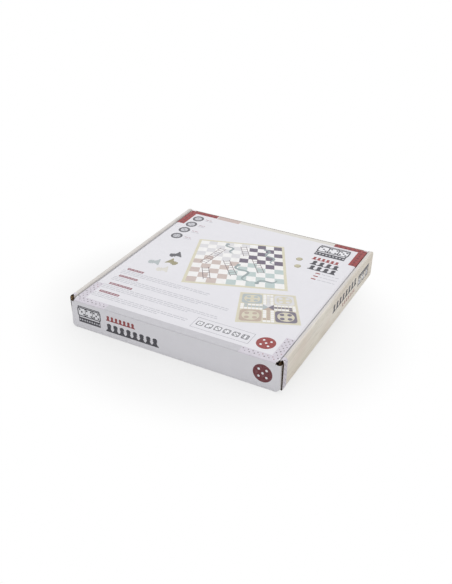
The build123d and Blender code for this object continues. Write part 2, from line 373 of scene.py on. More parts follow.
def paper(name, colour, under, cloud=0.05, fibre=0.03, rough=(0.42, 0.56), wear=0.5):
    """Printed or plain paper that clouds a little and shows what is under it at worn creases."""
    made, tree, shader = new_material(name)
    fibres = effect(tree, paper_fibre)
    worn = effect(tree, worn_crease, Wear=wear)
    clouded = shades(tree, fibres.outputs["Mottle"], colour, 1 - cloud, 1 + cloud / 2)
    streak = combine(tree, "MULTIPLY", fibres.outputs["Fibre"], fibre * 10)
    streaked = mix_colour(tree, streak, clouded, linear(colour, 1 - fibre * 4))
    final = mix_colour(tree, worn.outputs["Mask"], streaked, linear(under))
    roughness = spread(tree, fibres.outputs["Mottle"], 0.3, 0.7, *rough)
    finish_surface(tree, shader, final, roughness, fibres.outputs["Height"], bump=0.15)
    return made


def kraft(name, colour):
    """Raw or kraft paper, with flecks and fibres."""
    made, tree, shader = new_material(name, 0.2)
    fibres = effect(tree, paper_fibre, Cloud_Scale=110.0, Fibre_Scale=650.0)
    grain_place = object_place(tree, (1.0, 0.5, 1.0))
    fleck = shader_node(tree, "TexVoronoi", {"feature": "F1"}, Vector=grain_place, Scale=420.0)
    flecked = combine(tree, "MULTIPLY", spread(tree, fleck.outputs[0], 0.18, 0.1), 0.5)
    clouded = shades(tree, fibres.outputs["Mottle"], colour, 0.88, 1.08)
    streaked = mix_colour(tree, fibres.outputs["Fibre"], clouded, linear(colour, 1.16))
    final = mix_colour(tree, flecked, streaked, linear(colour, 0.72))
    roughness = spread(tree, fibres.outputs["Fibre"], 0.0, 1.0, 0.78, 0.92)
    finish_surface(tree, shader, final, roughness, fibres.outputs["Height"], bump=0.5)
    return made


def wood_print(hand, light, warm, dark):
    """Paper printed with a pale wood figure along the wall."""
    made, tree, shader = new_material(f"wood_print_{hand}")
    figure = effect(tree, wood_figure, Streak_Scale=55.0, Pore_Scale=420.0)
    worn = effect(tree, worn_crease, Wear=0.8)
    blotch = noise(tree, 26.0, 3.0, stretch=(1.0, 0.5, 1.0))[0]
    blotched = mix_colour(tree, spread(tree, blotch, 0.4, 0.62), linear(light), linear(warm))
    streak = combine(tree, "MULTIPLY", figure.outputs["Streak"], 0.8)
    streaked = mix_colour(tree, streak, blotched, linear(dark))
    pore = combine(tree, "MULTIPLY", figure.outputs["Pore"], 0.35)
    pored = mix_colour(tree, pore, streaked, linear(dark, 0.85))
    final = mix_colour(tree, worn.outputs["Mask"], pored, linear(raw_paper_colour))
    roughness = spread(tree, blotch, 0.3, 0.7, 0.42, 0.55)
    finish_surface(tree, shader, final, roughness, figure.outputs["Height"], bump=0.1)
    return made


white_paper = paper("white_paper", white_paper_colour, raw_paper_colour, cloud=0.02, fibre=0.012)
raw_edge = paper("raw_edge", raw_paper_colour, kraft_colour, cloud=0.12, fibre=0.06, rough=(0.8, 0.9))
kraft_liner = kraft("kraft_liner", kraft_colour)
kraft_medium = kraft("kraft_medium", medium_colour)
cut_end_painted_shade = kraft("cut_end_painted_shade", cut_end_painted_shade_colour)
pale_wood = [wood_print(hand, *colours) for hand, colours in wood_prints.items()]


def turned(vector, angle):
    """A plane vector turned to the left."""
    return np.array([
        vector[0] * cos(angle) - vector[1] * sin(angle),
        vector[0] * sin(angle) + vector[1] * cos(angle),
    ])


def folded_line(corners, step=flute_pitch / 6):
    """A folded sheet seen end on: places, right-hand normals, the run to each, and 1 at a crease.

    A corner is two coordinates and, where the sheet is folded, the radius of its middle."""
    points = [np.array(corner[:2], float) for corner in corners]
    places, headings, creased = [], [], []
    start = points[0]
    for number in range(1, len(points)):
        way = points[number] - points[number - 1]
        way = way / np.linalg.norm(way)
        heading = atan2(way[1], way[0])
        radius = corners[number][2] if len(corners[number]) > 2 else 0.0
        turn = 0.0
        if radius:
            onward = points[number + 1] - points[number]
            turn = (atan2(onward[1], onward[0]) - heading + pi) % tau - pi
        end = points[number] - way * radius * tan(abs(turn) / 2)
        count = max(1, ceil(np.linalg.norm(end - start) / step - weld))
        for share in np.arange(count) / count:
            places.append(start + (end - start) * share)
            headings.append(heading)
            creased.append(False)
        start = end
        if turn:
            arm = turned(way, copysign(pi / 2, turn)) * radius
            bends = max(4, ceil(abs(turn) / bend_step))
            for share in np.arange(bends) / bends:
                places.append(end + arm - turned(arm, turn * share))
                headings.append(heading + turn * share)
                creased.append(True)
            start = end + arm - turned(arm, turn)
    places.append(start)
    headings.append(headings[-1])
    creased.append(creased[-1])
    places = np.array(places)
    normals = np.stack([np.sin(headings), -np.cos(headings)], 1)
    run = np.concatenate([[0.0], np.cumsum(np.linalg.norm(np.diff(places, axis=0), axis=1))])
    crease = np.zeros(len(run))
    for at in run[np.array(creased)]:
        crease = np.maximum(crease, np.exp(-(((run - at) / crease_width) ** 2)))
    return {"place": places, "normal": normals, "run": run, "crease": crease}


def board_layers(across=False):
    """Outer liner, fluted medium and inner liner: offsets from the middle and materials."""
    def wave(run, row):
        return np.sin(tau * (row if across else run) / flute_pitch)

    def outer(run, row):
        return skin - washboard + washboard * wave(run, row)

    def inner(run, row):
        return -skin + washboard + washboard * wave(run, row)

    def fluting(run, row):
        return (skin - liner - medium / 2 - washboard - flute_clearance) * wave(run, row) + medium / 2

    def fluting_back(run, row):
        return fluting(run, row) - medium

    return [
        (outer, lambda run, row: outer(run, row) - liner, paper_face, edge_face),
        (fluting, fluting_back, flute_face, flute_face),
        (lambda run, row: inner(run, row) + liner, inner, kraft_face, edge_face),
    ]


def thin_sheet(half):
    """One plain layer, without flutes."""
    return [(lambda run, row: half + 0 * row, lambda run, row: -half + 0 * row, paper_face, paper_face)]


def sheet_mesh(
    name, line, lay, low, high, rows=(), hole=None, layers=None, cover=None, crush=crease_crush
):
    """Mesh of a sheet along a folded line, laid out from low to high across it.

    lay takes the line's two coordinates and the place across it, and gives the real place."""
    run = line["run"]
    count = len(run)
    low = np.broadcast_to(np.asarray(low, float), count)
    high = np.broadcast_to(np.asarray(high, float), count)
    levels = [low] + [np.clip(row, low, high) for row in sorted(rows)] + [high]
    levels = np.array(levels).T
    width = levels.shape[1]
    height = np.diff(levels, axis=1)
    present = np.maximum(height[1:], height[:-1]) > weld
    middle_place = (line["place"][1:] + line["place"][:-1]) / 2
    middle_row = (levels[1:, 1:] + levels[1:, :-1] + levels[:-1, 1:] + levels[:-1, :-1]) / 4
    along, over = middle_place[:, :1], middle_place[:, 1:]
    if hole is not None:
        present &= ~hole(along, over, middle_row)
    painted = cover(along, over, middle_row) if cover else np.zeros(present.shape, int)
    painted = np.broadcast_to(painted, present.shape)
    index = np.arange(count * width).reshape(count, width)
    a, b, c, d = index[:-1, :-1], index[1:, :-1], index[1:, 1:], index[:-1, 1:]
    padded = np.pad(present, 1)
    borders = [
        (a, b, ~padded[1:-1, :-2]),
        (b, c, ~padded[2:, 1:-1]),
        (c, d, ~padded[1:-1, 2:]),
        (d, a, ~padded[:-2, 1:-1]),
    ]
    squash = (1 - crush * line["crease"])[:, None]
    vertices, faces, materials = [], [], []
    for top, bottom, face_material, edge_material in layers or board_layers():
        first = len(vertices) * count * width
        for offset in (top, bottom):
            rise = offset(run[:, None], levels) * squash
            x = line["place"][:, :1] + line["normal"][:, :1] * rise
            z = line["place"][:, 1:] + line["normal"][:, 1:] * rise
            vertices.append(np.stack(lay(x, z, levels), -1).reshape(-1, 3))
        under = count * width
        upper = np.stack([part[present] for part in (a, b, c, d)], 1) + first
        faces += [upper, upper[:, ::-1] + under]
        if face_material == paper_face:
            materials += [painted[present], np.full(len(upper), edge_face)]
        else:
            materials += [np.full(len(upper), face_material)] * 2
        for start, end, open_side in borders:
            open_side = open_side & present
            side = np.stack([start[open_side], end[open_side]], 1) + first
            faces.append(np.concatenate([side, side[:, ::-1] + under], 1))
            materials.append(np.full(len(side), edge_material))
    mesh = bpy.data.meshes.new(name)
    mesh.from_pydata(np.concatenate(vertices) * mm, [], np.concatenate(faces).tolist())
    mesh.polygons.foreach_set("material_index", np.concatenate(materials).astype(np.int32))
    crease = np.tile(np.repeat(line["crease"], width), len(vertices)).astype(np.float32)
    mesh.attributes.new("crease", "FLOAT", "POINT").data.foreach_set("value", crease)
    return mesh


def clean_mesh(mesh, sharp=radians(42)):
    """Weld what coincides, drop loose points, face everything outwards and shade it by its edges."""
    work = bmesh.new()
    work.from_mesh(mesh)
    bmesh.ops.remove_doubles(work, verts=work.verts, dist=weld * mm)
    bmesh.ops.dissolve_degenerate(work, edges=work.edges, dist=weld * mm)
    bmesh.ops.delete(work, geom=[v for v in work.verts if not v.link_faces], context="VERTS")
    bmesh.ops.recalc_face_normals(work, faces=work.faces)
    work.to_mesh(mesh)
    work.free()
    mesh.shade_smooth()
    mesh.set_sharp_from_angle(angle=sharp)


def sheet_piece(name, materials, body, slot, nodes, *shape, **details):
    """A finished piece of board or paper that rides on a body and stands for CAD nodes."""
    mesh = sheet_mesh(name, *shape, **details)
    for material in materials:
        mesh.materials.append(material)
    clean_mesh(mesh)
    piece = add_object(name, mesh)
    if body:
        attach(piece, body)
    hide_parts(*nodes)
    return piece


carton_board = [white_paper, kraft_liner, raw_edge, kraft_medium]
# The tray and hinge wall show the painted-shade brown on their cut edges and their fluting.
tray_board = [white_paper, kraft_liner, cut_end_painted_shade, cut_end_painted_shade, *pale_wood]
wood_faces = (first_print, second_print)
outer_low = cad("side_wall_outer_right")
inner_low = cad("side_wall_inner_right")
rim_top = cad("side_rim_right")[5]
half_width = outer_low[3]
base_low = cad("base_panel")
half_sheet = (outer_low[3] - outer_low[0]) / 2
outer_x = outer_low[3] - half_sheet
inner_x = box_middle(inner_low, 0)
rim_z = rim_top - half_sheet
rim_middle = (outer_x + inner_x) / 2
side_end = outer_low[4]
slot_gap = 0.3
slot_inner = inner_low[0] - slot_gap
slot_outer = inner_low[3] + slot_gap
slot_z = 1.0
tab_top_z = 1.5
tab_end_z = 0.2
tab_rows = (55.0, 95.0)
slot_rows = (tab_rows[0] - slot_gap, tab_rows[1] + slot_gap)
on_layer = 0.1
print_low_z = 1.2
print_past_rim = 1.5
even_rows = np.arange(-135.0, 136.0, row_step)
fold_end_x = cad("hinge_wall")[3] - end_foot_round
base_z = skin


def side_corners(side):
    """Corners of a side wall from the base outwards."""
    return [
        (side * outer_x, base_z, side_bend),
        (side * outer_x, rim_z, rim_bend),
        (side * inner_x, rim_z, rim_bend),
        (side * inner_x, tab_top_z),
        (side * inner_x, tab_end_z),
    ]


base_corners = [(x, base_z) for x in (-slot_outer, -slot_inner, slot_inner, slot_outer)]
tray_line = folded_line(side_corners(-1)[::-1] + base_corners + side_corners(1))


def lean(x, z):
    """X of the tray at a height: the side walls lean in a little towards the foot."""
    return x * (1 - wall_lean / half_width * (1 - np.clip(z / rim_top, 0, 1)))


def lay_tray(x, z, y):
    """Sheet of the tray folded about lines along Y: its line runs in X and Z."""
    return np.broadcast_arrays(lean(x, z), y, z)


def tray_hole(x, z, y):
    """Slots in the base, and the gaps between the lock tabs."""
    far = np.abs(y)
    in_slot = (np.abs(x) > slot_inner) & (np.abs(x) < slot_outer) & (z < slot_z)
    in_slot = in_slot & (far > slot_rows[0]) & (far < slot_rows[1])
    foot = (np.abs(np.abs(x) - inner_x) < on_layer) & (z < tab_top_z)
    return in_slot | (foot & ~((far > tab_rows[0]) & (far < tab_rows[1])))


def tray_cover(x, z, y):
    """Wood print outside, and a greyer one over both rims and on the left wall."""
    wood = np.where(x < rim_middle + print_past_rim, *wood_faces)
    return np.where((np.abs(x) > inner_x) & (z > print_low_z), wood, paper_face)


under_round = np.clip(foot_round + base_z - tray_line["place"][:, 1], 0, foot_round)
over_round = np.clip(tray_line["place"][:, 1] - rim_z + rim_end_round, 0, rim_end_round)
side_reach = side_end - foot_round + np.sqrt(foot_round**2 - under_round**2)
side_reach += np.sqrt(rim_end_round**2 - over_round**2) - rim_end_round
in_base = np.abs(tray_line["place"][:, 0]) < fold_end_x
tray_reach = np.where(in_base, base_low[4] - base_trim, side_reach)
near_end = np.where(tray_line["place"][:, 0] < -fold_end_x, left_setback, 0.0) - tray_reach
tray_rows = [side * row for side in (-1, 1) for row in tab_rows + slot_rows] + list(even_rows)
tray_nodes = ["base_panel"]
for hand in ("left", "right"):
    tray_nodes += [f"side_{part}_{hand}" for part in ("wall_outer", "rim", "wall_inner")]
sheet_piece(
    "base_and_side_walls", tray_board, "tray", "printed_card", tray_nodes,
    tray_line, lay_tray, near_end, tray_reach, rows=tray_rows, hole=tray_hole, cover=tray_cover,
)

# Print on the side walls. Thin films of ink on the coated paper: a dotted strip at the hinge end
# that wraps over the rim, and at the far end plain game motifs, dice and pawns, in dark and red.
film_step = 0.012
film_root = 0.025
film_grid = 24.0
dot_shift = 0.25
dot_sizes = (0.7, 1.15)
dot_red_share = 0.2
ink_colours = {
    "red": (148, 57, 56),
    "heading": (142, 84, 90),
    "icon_grey": (96, 96, 101),
    "deep_red": (108, 36, 42),
    "disc_red": (148, 58, 55),
    "dark": (62, 61, 68),
    "grey": (150, 150, 156),
    "light_grey": (198, 198, 204),
    "pale": (238, 238, 242),
    "band_grey": (198, 197, 202),
    "dot_ground": (212, 207, 216),
    "dot": (116, 108, 114),
    "dot_red": (172, 140, 146),
    "cream": (221, 218, 211),
    "beige": (202, 182, 176),
    "olive": (217, 212, 190),
    "board_cream": (214, 208, 188),
    "cell_white": (243, 242, 241),
    "slate": (108, 99, 116),
    "tan": (203, 188, 182),
    "clay": (192, 174, 161),
    "token": (196, 190, 164),
    "mint": (190, 204, 203),
    "cloud": (220, 219, 222),
    "snake": (150, 162, 164),
    "ladder": (116, 98, 104),
    "sky": (180, 188, 190),
    "plum": (120, 114, 128),
    "gold": (158, 151, 122),
}


def ink(name, colour):
    """Printing ink on coated paper: a little uneven, with the paper's own roughness."""
    made, tree, shader = new_material("ink_" + name)
    fibres = effect(tree, paper_fibre, Cloud_Scale=140.0, Fibre_Scale=1400.0)
    clouded = shades(tree, fibres.outputs["Mottle"], colour, 0.95, 1.05)
    bare = combine(tree, "MULTIPLY", fibres.outputs["Fibre"], 0.12)
    final = mix_colour(tree, bare, clouded, linear(white_paper_colour))
    roughness = spread(tree, fibres.outputs["Mottle"], 0.3, 0.7, 0.4, 0.52)
    finish_surface(tree, shader, final, roughness, fibres.outputs["Height"], bump=0.1)
    return made


inks = {name: ink(name, colour) for name, colour in ink_colours.items()}


def rectangle(x0, y0, x1, y1):
    """Corners of an upright rectangle."""
    return [(x0, y0), (x1, y0), (x1, y1), (x0, y1)]


def arc_points(x, y, radius, start=0.0, end=tau, count=24):
    """Points on a circle between two angles, both kept unless it closes."""
    steps = count if abs(end - start) >= tau else count + 1
    angles = [start + (end - start) * number / count for number in range(steps)]
    return [(x + radius * cos(angle), y + radius * sin(angle)) for angle in angles]


def rounded(x0, y0, x1, y1, radius):
    """A rectangle with round corners."""
    centres = ((x1 - radius, y1 - radius), (x0 + radius, y1 - radius))
    centres += ((x0 + radius, y0 + radius), (x1 - radius, y0 + radius))
    points = []
    for number, (x, y) in enumerate(centres):
        points += arc_points(x, y, radius, number * pi / 2, (number + 1) * pi / 2, 4)
    return points


def ring(ink_name, level, x, y, outside, inside):
    """A ring in two halves."""
    shapes = []
    for start in (0.0, pi):
        outer = arc_points(x, y, outside, start, start + pi, 14)
        inner = arc_points(x, y, inside, start + pi, start, 14)
        shapes.append((ink_name, level, outer + inner))
    return shapes


def spin(points, x, y, angle=0.0, size=1.0):
    """Points turned about the origin, scaled and moved."""
    return [
        (x + size * (u * cos(angle) - v * sin(angle)), y + size * (u * sin(angle) + v * cos(angle)))
        for u, v in points
    ]


pip_patterns = {
    1: [(0, 0)],
    2: [(-1, 1), (1, -1)],
    3: [(-1, 1), (0, 0), (1, -1)],
    4: [(-1, 1), (1, 1), (-1, -1), (1, -1)],
    5: [(-1, 1), (1, 1), (0, 0), (-1, -1), (1, -1)],
    6: [(-1, 1), (1, 1), (-1, 0), (1, 0), (-1, -1), (1, -1)],
}


def pips(ink_name, level, count, x, y, pitch, radius):
    """Pips of a die face."""
    middles = spin(pip_patterns[count], x, y, size=pitch)
    return [(ink_name, level, arc_points(u, v, radius, count=12)) for u, v in middles]


def die_face(count, x, y, size, level=0):
    """A flat picture of a die: a dark rounded square, a light one in it, and pips."""
    half = size / 2
    inside = half * 0.78
    outline = spin(rounded(-half, -half, half, half, size * 0.2), x, y)
    field = spin(rounded(-inside, -inside, inside, inside, size * 0.14), x, y)
    shapes = [("dark", level, outline), ("pale", level + 1, field)]
    return shapes + pips("dark", level + 2, count, x, y, size * 0.24, size * 0.1)


def pawn_outline(width):
    """Outline of a turned pawn, one unit high, on the origin, widened."""
    foot = [(0.33, 0.0), (0.33, 0.12), (0.24, 0.20), (0.17, 0.34)]
    neck = [(0.14, 0.52), (0.22, 0.56), (0.22, 0.61)]
    head = arc_points(0.0, 0.79, 0.21, radians(-50), radians(90), 8)
    half = [(width * x, y) for x, y in foot + neck + head]
    return half + [(-x, y) for x, y in reversed(half[:-1])]


def pawn_row(ink_name, x0, x1, y, size, count):
    """Pawns side by side."""
    step = (x1 - x0) / count
    middles = [x0 + (number + 0.5) * step for number in range(count)]
    return [(ink_name, 0, spin(pawn_outline(1.3), x, y, size=size)) for x in middles]


def frame_bars(ink_name, x0, y0, x1, y1, width):
    """Four thin bars round a rectangle."""
    return [
        (ink_name, 0, rectangle(*bar))
        for bar in (
            (x0, y0, x1, y0 + width),
            (x0, y1 - width, x1, y1),
            (x0, y0 + width, x0 + width, y1 - width),
            (x1 - width, y0 + width, x1, y1 - width),
        )
    ]


def dice_block(x0, y0, x1, y1, bar_low=True):
    """A framed row of three dice, beside a dark bar with pale pips."""
    bar = 0.3 * (y1 - y0)
    bar_y0 = y0 if bar_low else y1 - bar
    row_y = (y0 + y1 + (bar if bar_low else -bar)) / 2
    shapes = frame_bars("dark", x0, y0, x1, y1, 0.05 * (y1 - y0))
    shapes.append(("dark", 1, rectangle(x0, bar_y0, x1, bar_y0 + bar)))
    for number in range(3):
        x = x0 + (number + 0.5) * (x1 - x0) / 3
        shapes += die_face(number + 3, x, row_y, 0.56 * (y1 - y0), level=1)
    for number in range(9):
        x = x0 + (number + 0.5) * (x1 - x0) / 9
        shapes.append(("light_grey", 2, arc_points(x, bar_y0 + bar / 2, bar * 0.17, count=10)))
    return shapes


def dots(x0, y0, x1, y1, pitch, radius, seed, edge=None):
    """A field of small, slightly uneven dots on a tinted ground, which may have a shaped near edge."""
    draw = random.Random(seed)
    edge = edge or (lambda y: x0)
    near_edge = [(edge(y), y) for y in np.linspace(y1, y0, 60 if edge(y0) != x0 else 2)]
    shapes = [("dot_ground", 0, [(x1, y0), (x1, y1)] + near_edge)]
    row = 0
    y = y0 + pitch * 0.45
    while y < y1 - radius:
        x = x0 + pitch * (0.4 if row % 2 else 0.9)
        while x < x1 - radius:
            u = x + draw.uniform(-dot_shift, dot_shift)
            v = y + draw.uniform(-dot_shift, dot_shift)
            size = radius * draw.uniform(*dot_sizes)
            tint = "dot_red" if draw.random() < dot_red_share else "dot"
            if u - size > edge(v) + 0.2:
                start, end = draw.random(), draw.random() + tau
                shapes.append((tint, 1, arc_points(u, v, size, start, end, 8)))
            x += pitch
        y += pitch * 0.6
        row += 1
    return shapes


def print_films(name, body, place, shapes, grid=(film_grid, film_grid)):
    """Ink films on a face; place takes two coordinates on the face and a height over it."""
    work = bmesh.new()
    lift = work.verts.layers.float.new("lift")
    used = list(dict.fromkeys(ink_name for ink_name, _, _ in shapes))
    for ink_name, level, outline in shapes:
        corners = [work.verts.new((u, v, 0.0)) for u, v in outline]
        for corner in corners:
            corner[lift] = film_step * (level + 1)
        work.faces.new(corners).material_index = used.index(ink_name)
    for axis in (0, 1):
        values = [vertex.co[axis] for vertex in work.verts]
        cuts = np.arange(ceil(min(values) / grid[axis]), max(values) / grid[axis]) * grid[axis]
        normal = [0.0, 0.0, 0.0]
        normal[axis] = 1.0
        for cut in cuts:
            spot = [value * cut for value in normal]
            everything = work.verts[:] + work.edges[:] + work.faces[:]
            bmesh.ops.bisect_plane(work, geom=everything, plane_co=spot, plane_no=normal, dist=1e-5)
    made = bmesh.ops.extrude_face_region(work, geom=work.faces[:], use_keep_orig=True)
    raised = {part for part in made["geom"] if isinstance(part, bmesh.types.BMVert)}
    for vertex in work.verts:
        height = vertex[lift] if vertex in raised else -film_root
        vertex.co = Vector(place(vertex.co.x, vertex.co.y, height)) * mm
    bmesh.ops.recalc_face_normals(work, faces=work.faces)
    mesh = bpy.data.meshes.new(name)
    work.to_mesh(mesh)
    work.free()
    for ink_name in used:
        mesh.materials.append(inks[ink_name])
    piece = add_object(name, mesh)
    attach(piece, body)
    return piece


wall_point = np.argmax((tray_line["place"][:, 0] > 0) & (tray_line["place"][:, 1] > 10.0))
wall_start = tray_line["run"][wall_point] - tray_line["place"][wall_point, 1]


def side_place(side):
    """Places on a side wall: along it, and up it from the table and on over the rim."""
    def place(along, up, height):
        at = wall_start + up
        x, z, out_x, out_z = (
            np.interp(at, tray_line["run"], tray_line[part][:, axis])
            for part in ("place", "normal")
            for axis in (0, 1)
        )
        rise = skin + height
        x, y, z = lay_tray(x + out_x * rise, z + out_z * rise, along)
        return side * float(x), float(y), float(z)
    return place


def wall_motifs(start, end, low):
    """Framed dice, then a row of pawns with small red ones under it."""
    shapes = dice_block(end - 42.0, low + 0.5, end, low + 17.5, False)
    shapes += pawn_row("dark", start, end - 49.0, low + 9.0, 11.5, 8)
    shapes += pawn_row("red", start + 35.0, end - 52.0, low, 5.0, 7)
    return shapes


strip_inset = 0.3
strip_low = 3.0
strip_high = 46.5
strip_width = 10.0
strip_grid = 0.6
strip_dots = (5.2, 0.85)


def wall_edge(side, up):
    """Near end of the print on a side wall, at a height along it."""
    reach = float(np.interp(wall_start + up, tray_line["run"], tray_reach))
    return strip_inset - reach + (left_setback if side < 0 else 0.0)


for side, hand in ((-1, "left"), (1, "right")):
    shapes = dots(
        strip_inset - side_end, strip_low, strip_width - side_end, strip_high, *strip_dots, 11 + side,
        lambda up: wall_edge(side, up),
    )
    print_films(f"side_strip_{hand}", "tray", side_place(side), shapes, grid=(film_grid, strip_grid))
    print_films(f"side_print_{hand}", "tray", side_place(side), wall_motifs(-1.0, 134.0, 14.0))

# Hinge wall with its two corner flaps, near side. It folds up from the base, its flaps go back
# between the layers of the side walls, and its top corners are scooped out beside the lid's crease.
wall_turn = 1.0
flap_tip = 75.5
left_lean = 1.8
flap_lean = 1.1
left_lean_width = 6.0
hinge_box = cad("hinge_wall")
hinge_mid_y = hinge_box[1] + half_sheet
flap_box = cad("corner_flap_hinge_right")
flap_mid_x = box_middle(flap_box, 0)
lid_box = cad("lid_panel")
lid_z = box_middle(lid_box, 2)
lid_corner_width = 2.3
lid_edge_x = lid_box[3] - lid_corner_width
lid_crease_low = lid_box[5] - 4.0
base_crease_high = 4.0
foot_step = 0.8
flap_start = 0.5
flap_change = 1.0
tip_round = 8.0
scoop_width = 3.6
scoop_low_x = hinge_box[3] - scoop_width
scoop_tip_z = lid_box[5] - 0.8
scoop_low_z = lid_box[5] - 2.4
scoop_end_z = scoop_low_z + 0.3
flap_low_z = flap_box[2] + 3.3
flap_high_z = flap_box[5]
relief_end_y = hinge_mid_y + half_sheet + 4.4

hinge_line = folded_line([
    (-flap_mid_x, -flap_tip),
    (-flap_mid_x, hinge_mid_y, wall_turn),
    (-lid_edge_x, hinge_mid_y),
    (lid_edge_x, hinge_mid_y),
    (flap_mid_x, hinge_mid_y, wall_turn),
    (flap_mid_x, -flap_tip),
])


def lay_upright(x, y, z):
    """Upright sheet: its line runs in X and Y."""
    return np.broadcast_arrays(x, y, z)


def lay_hinge_wall(x, y, z):
    """The hinge wall and its flaps: the left corner leans in towards the top, and its flap less."""
    beside = np.clip((-x - lid_edge_x) / left_lean_width, 0, 1) * np.clip(z / scoop_low_z, 0, 1)
    behind = np.clip((y - hinge_mid_y) / left_setback, 0, 1)
    return np.broadcast_arrays(x + beside * (left_lean + (flap_lean - left_lean) * behind), y, z)


def foot_height(x):
    """Lower edge of an end wall: at the base's crease, and round beside it."""
    beside = np.clip(np.abs(x) - fold_end_x, 0, end_foot_round)
    rise = end_foot_round - np.sqrt(end_foot_round**2 - beside**2)
    return np.where(beside > 0, rise + foot_step, base_crease_high)


def flap_and_tip(y, wall_y):
    """Where a corner flap takes over from its end wall, and how far its round tip is cut back."""
    off_middle = np.abs(y)
    flap = np.clip((abs(wall_y) - flap_start - off_middle) / flap_change, 0, 1)
    tip = np.clip((flap_tip + tip_round - off_middle) / tip_round, 0, 1)
    return flap, tip_round * (1 - np.sqrt(1 - tip**2))


hinge_x = np.abs(hinge_line["place"][:, 0])
hinge_y = hinge_line["place"][:, 1]
flap_share, tip_cut = flap_and_tip(hinge_y, hinge_mid_y)
hinge_low = foot_height(hinge_x) * (1 - flap_share) + flap_low_z * flap_share + tip_cut
scoop_share = np.clip((scoop_low_x - hinge_x) / (scoop_low_x - lid_edge_x), 0, 1)
hinge_high = scoop_low_z + (scoop_tip_z - scoop_low_z) * scoop_share**2
hinge_high += np.clip((hinge_x - scoop_low_x) / scoop_width, 0, 1) * (scoop_end_z - scoop_low_z)
hinge_high = np.where(hinge_x <= lid_edge_x, lid_crease_low, hinge_high)
hinge_high = np.where(hinge_y > relief_end_y, flap_high_z, hinge_high) - tip_cut
upright_rows = (8.0, 16.0, 24.0, 32.0)
sheet_piece(
    "hinge_wall_and_flaps", tray_board[:4], "tray", "printed_card",
    ["hinge_wall", "corner_flap_hinge_left", "corner_flap_hinge_right"],
    hinge_line, lay_hinge_wall, hinge_low, hinge_high, rows=upright_rows,
)


def lay_across(y, z, x):
    """Sheet folded about lines along X: its line runs in Y and Z."""
    return np.broadcast_arrays(x, y, z)


def crease_strip(name, line, half_length, body, materials=carton_board, cover=None, crush=crease_crush):
    """A crease along X, where the flutes are bent over and crushed."""
    rows = np.arange(-half_length + flute_pitch / 6, half_length - 0.1, flute_pitch / 6)
    return sheet_piece(
        name, materials, body, "printed_card", [], line, lay_across, -half_length, half_length,
        rows=rows, layers=board_layers(across=True), cover=cover, crush=crush,
    )


for end, name in ((-1, "hinge"), (1, "tuck")):
    foot_line = folded_line([
        (end * (base_low[4] - base_trim), base_z),
        (end * -hinge_mid_y, base_z, wall_bend),
        (end * -hinge_mid_y, base_crease_high),
    ][::end])
    crease_strip(f"base_crease_{name}", foot_line, fold_end_x, "tray")


def hinge_place(x, z, height):
    """Places on the outer face of the hinge wall."""
    return x, hinge_mid_y - skin - height, z


def red_disc(x, y, radius, ink_name="red"):
    """Red disc with five white pips."""
    disc = [(ink_name, 0, arc_points(x, y, radius, count=40))]
    return disc + pips("pale", 1, 5, x, y, radius * 0.4, radius * 0.13)


hinge_shapes = dice_block(-134.8, 11.0, -101.4, 35.0)
hinge_shapes += pawn_row("red", -91.8, -48.8, 25.4, 7.4, 7)
hinge_shapes += pawn_row("dark", -92.8, -15.3, 9.2, 12.2, 8)
hinge_shapes += red_disc(124.9, 21.5, 12.4, "deep_red")
print_films("hinge_wall_print", "tray", hinge_place, hinge_shapes)

# Tuck wall with its two corner flaps, far side. The same as the hinge wall but with a plain raw
# top edge, lower than the lid, behind which the lid's tuck flap goes down.
tuck_box = cad("tuck_wall")
tuck_mid_y = tuck_box[4] - half_sheet
tuck_line = folded_line([
    (flap_mid_x, flap_tip),
    (flap_mid_x, tuck_mid_y, wall_turn),
    (-flap_mid_x, tuck_mid_y, wall_turn),
    (-flap_mid_x, flap_tip),
])
tuck_x = np.abs(tuck_line["place"][:, 0])
flap_share, tip_cut = flap_and_tip(tuck_line["place"][:, 1], tuck_mid_y)
tuck_low = foot_height(tuck_x) * (1 - flap_share) + flap_low_z * flap_share + tip_cut
tuck_high = tuck_box[5] + (flap_high_z - tuck_box[5]) * flap_share - tip_cut
sheet_piece(
    "tuck_wall_and_flaps", carton_board, "tray", "printed_card",
    ["tuck_wall", "corner_flap_tuck_left", "corner_flap_tuck_right"],
    tuck_line, lay_upright, tuck_low, tuck_high, rows=upright_rows,
)

# Lid. A panel between the rims, printed on top and kraft below, hung on the crease at the top of
# the hinge wall. It lies a little below the rims and domes up slightly in the middle.
lid_rise = 0.35
dome_middle_y = -1.0
dome_half_y = 147.0
dome_wave = 0.06
dome_wave_lengths = (23.0, 41.0)
lid_near_y = -148.6
lid_far_y = 146.2
lid_flat_x = lid_box[3] - 2.9
lid_ear_x = lid_box[3] - 0.1
lid_ear_far = lid_box[4] - 0.5
corner_cut_length = 8.7
tuck_half = cad("tuck_flap")[3]
dust_box = cad("dust_flap_right")
tuck_axis_y = lid_box[4] - half_sheet
dust_axis_x = lid_box[3] - half_sheet
crease_bend = 0.95
crease_reach = 2.2
dust_bend = 1.4
tuck_bend = 2.2
tuck_reach = 2.8
lid_crease_crush = 0.1
crease_print = 0.5
# Width of the painted shade in grey over the rounded top of the side creases.
side_crease_shade_width = 0.7
thin_liner = 0.05
band_x = (-94.0, 93.0)
red_corner_x = (-95.3, 94.4)
red_corner_y = (101.0, 98.0)
patch_x = (-94.0, -57.2)
tuck_lean = radians(5.0)
dust_lean = radians(4.0)


def lid_dome(x, y):
    """How far the lid has risen off the plane of its creases."""
    dome = np.clip(1 - (x / lid_flat_x) ** 2, 0, 1)
    dome = dome * np.clip(1 - ((y - dome_middle_y) / dome_half_y) ** 2, 0, 1)
    return dome * (lid_rise + dome_wave * np.sin(x / dome_wave_lengths[0] + y / dome_wave_lengths[1]))


def lay_lid(x, z, y):
    """Flat sheet of the lid."""
    return np.broadcast_arrays(x, y, z + lid_dome(x, y))


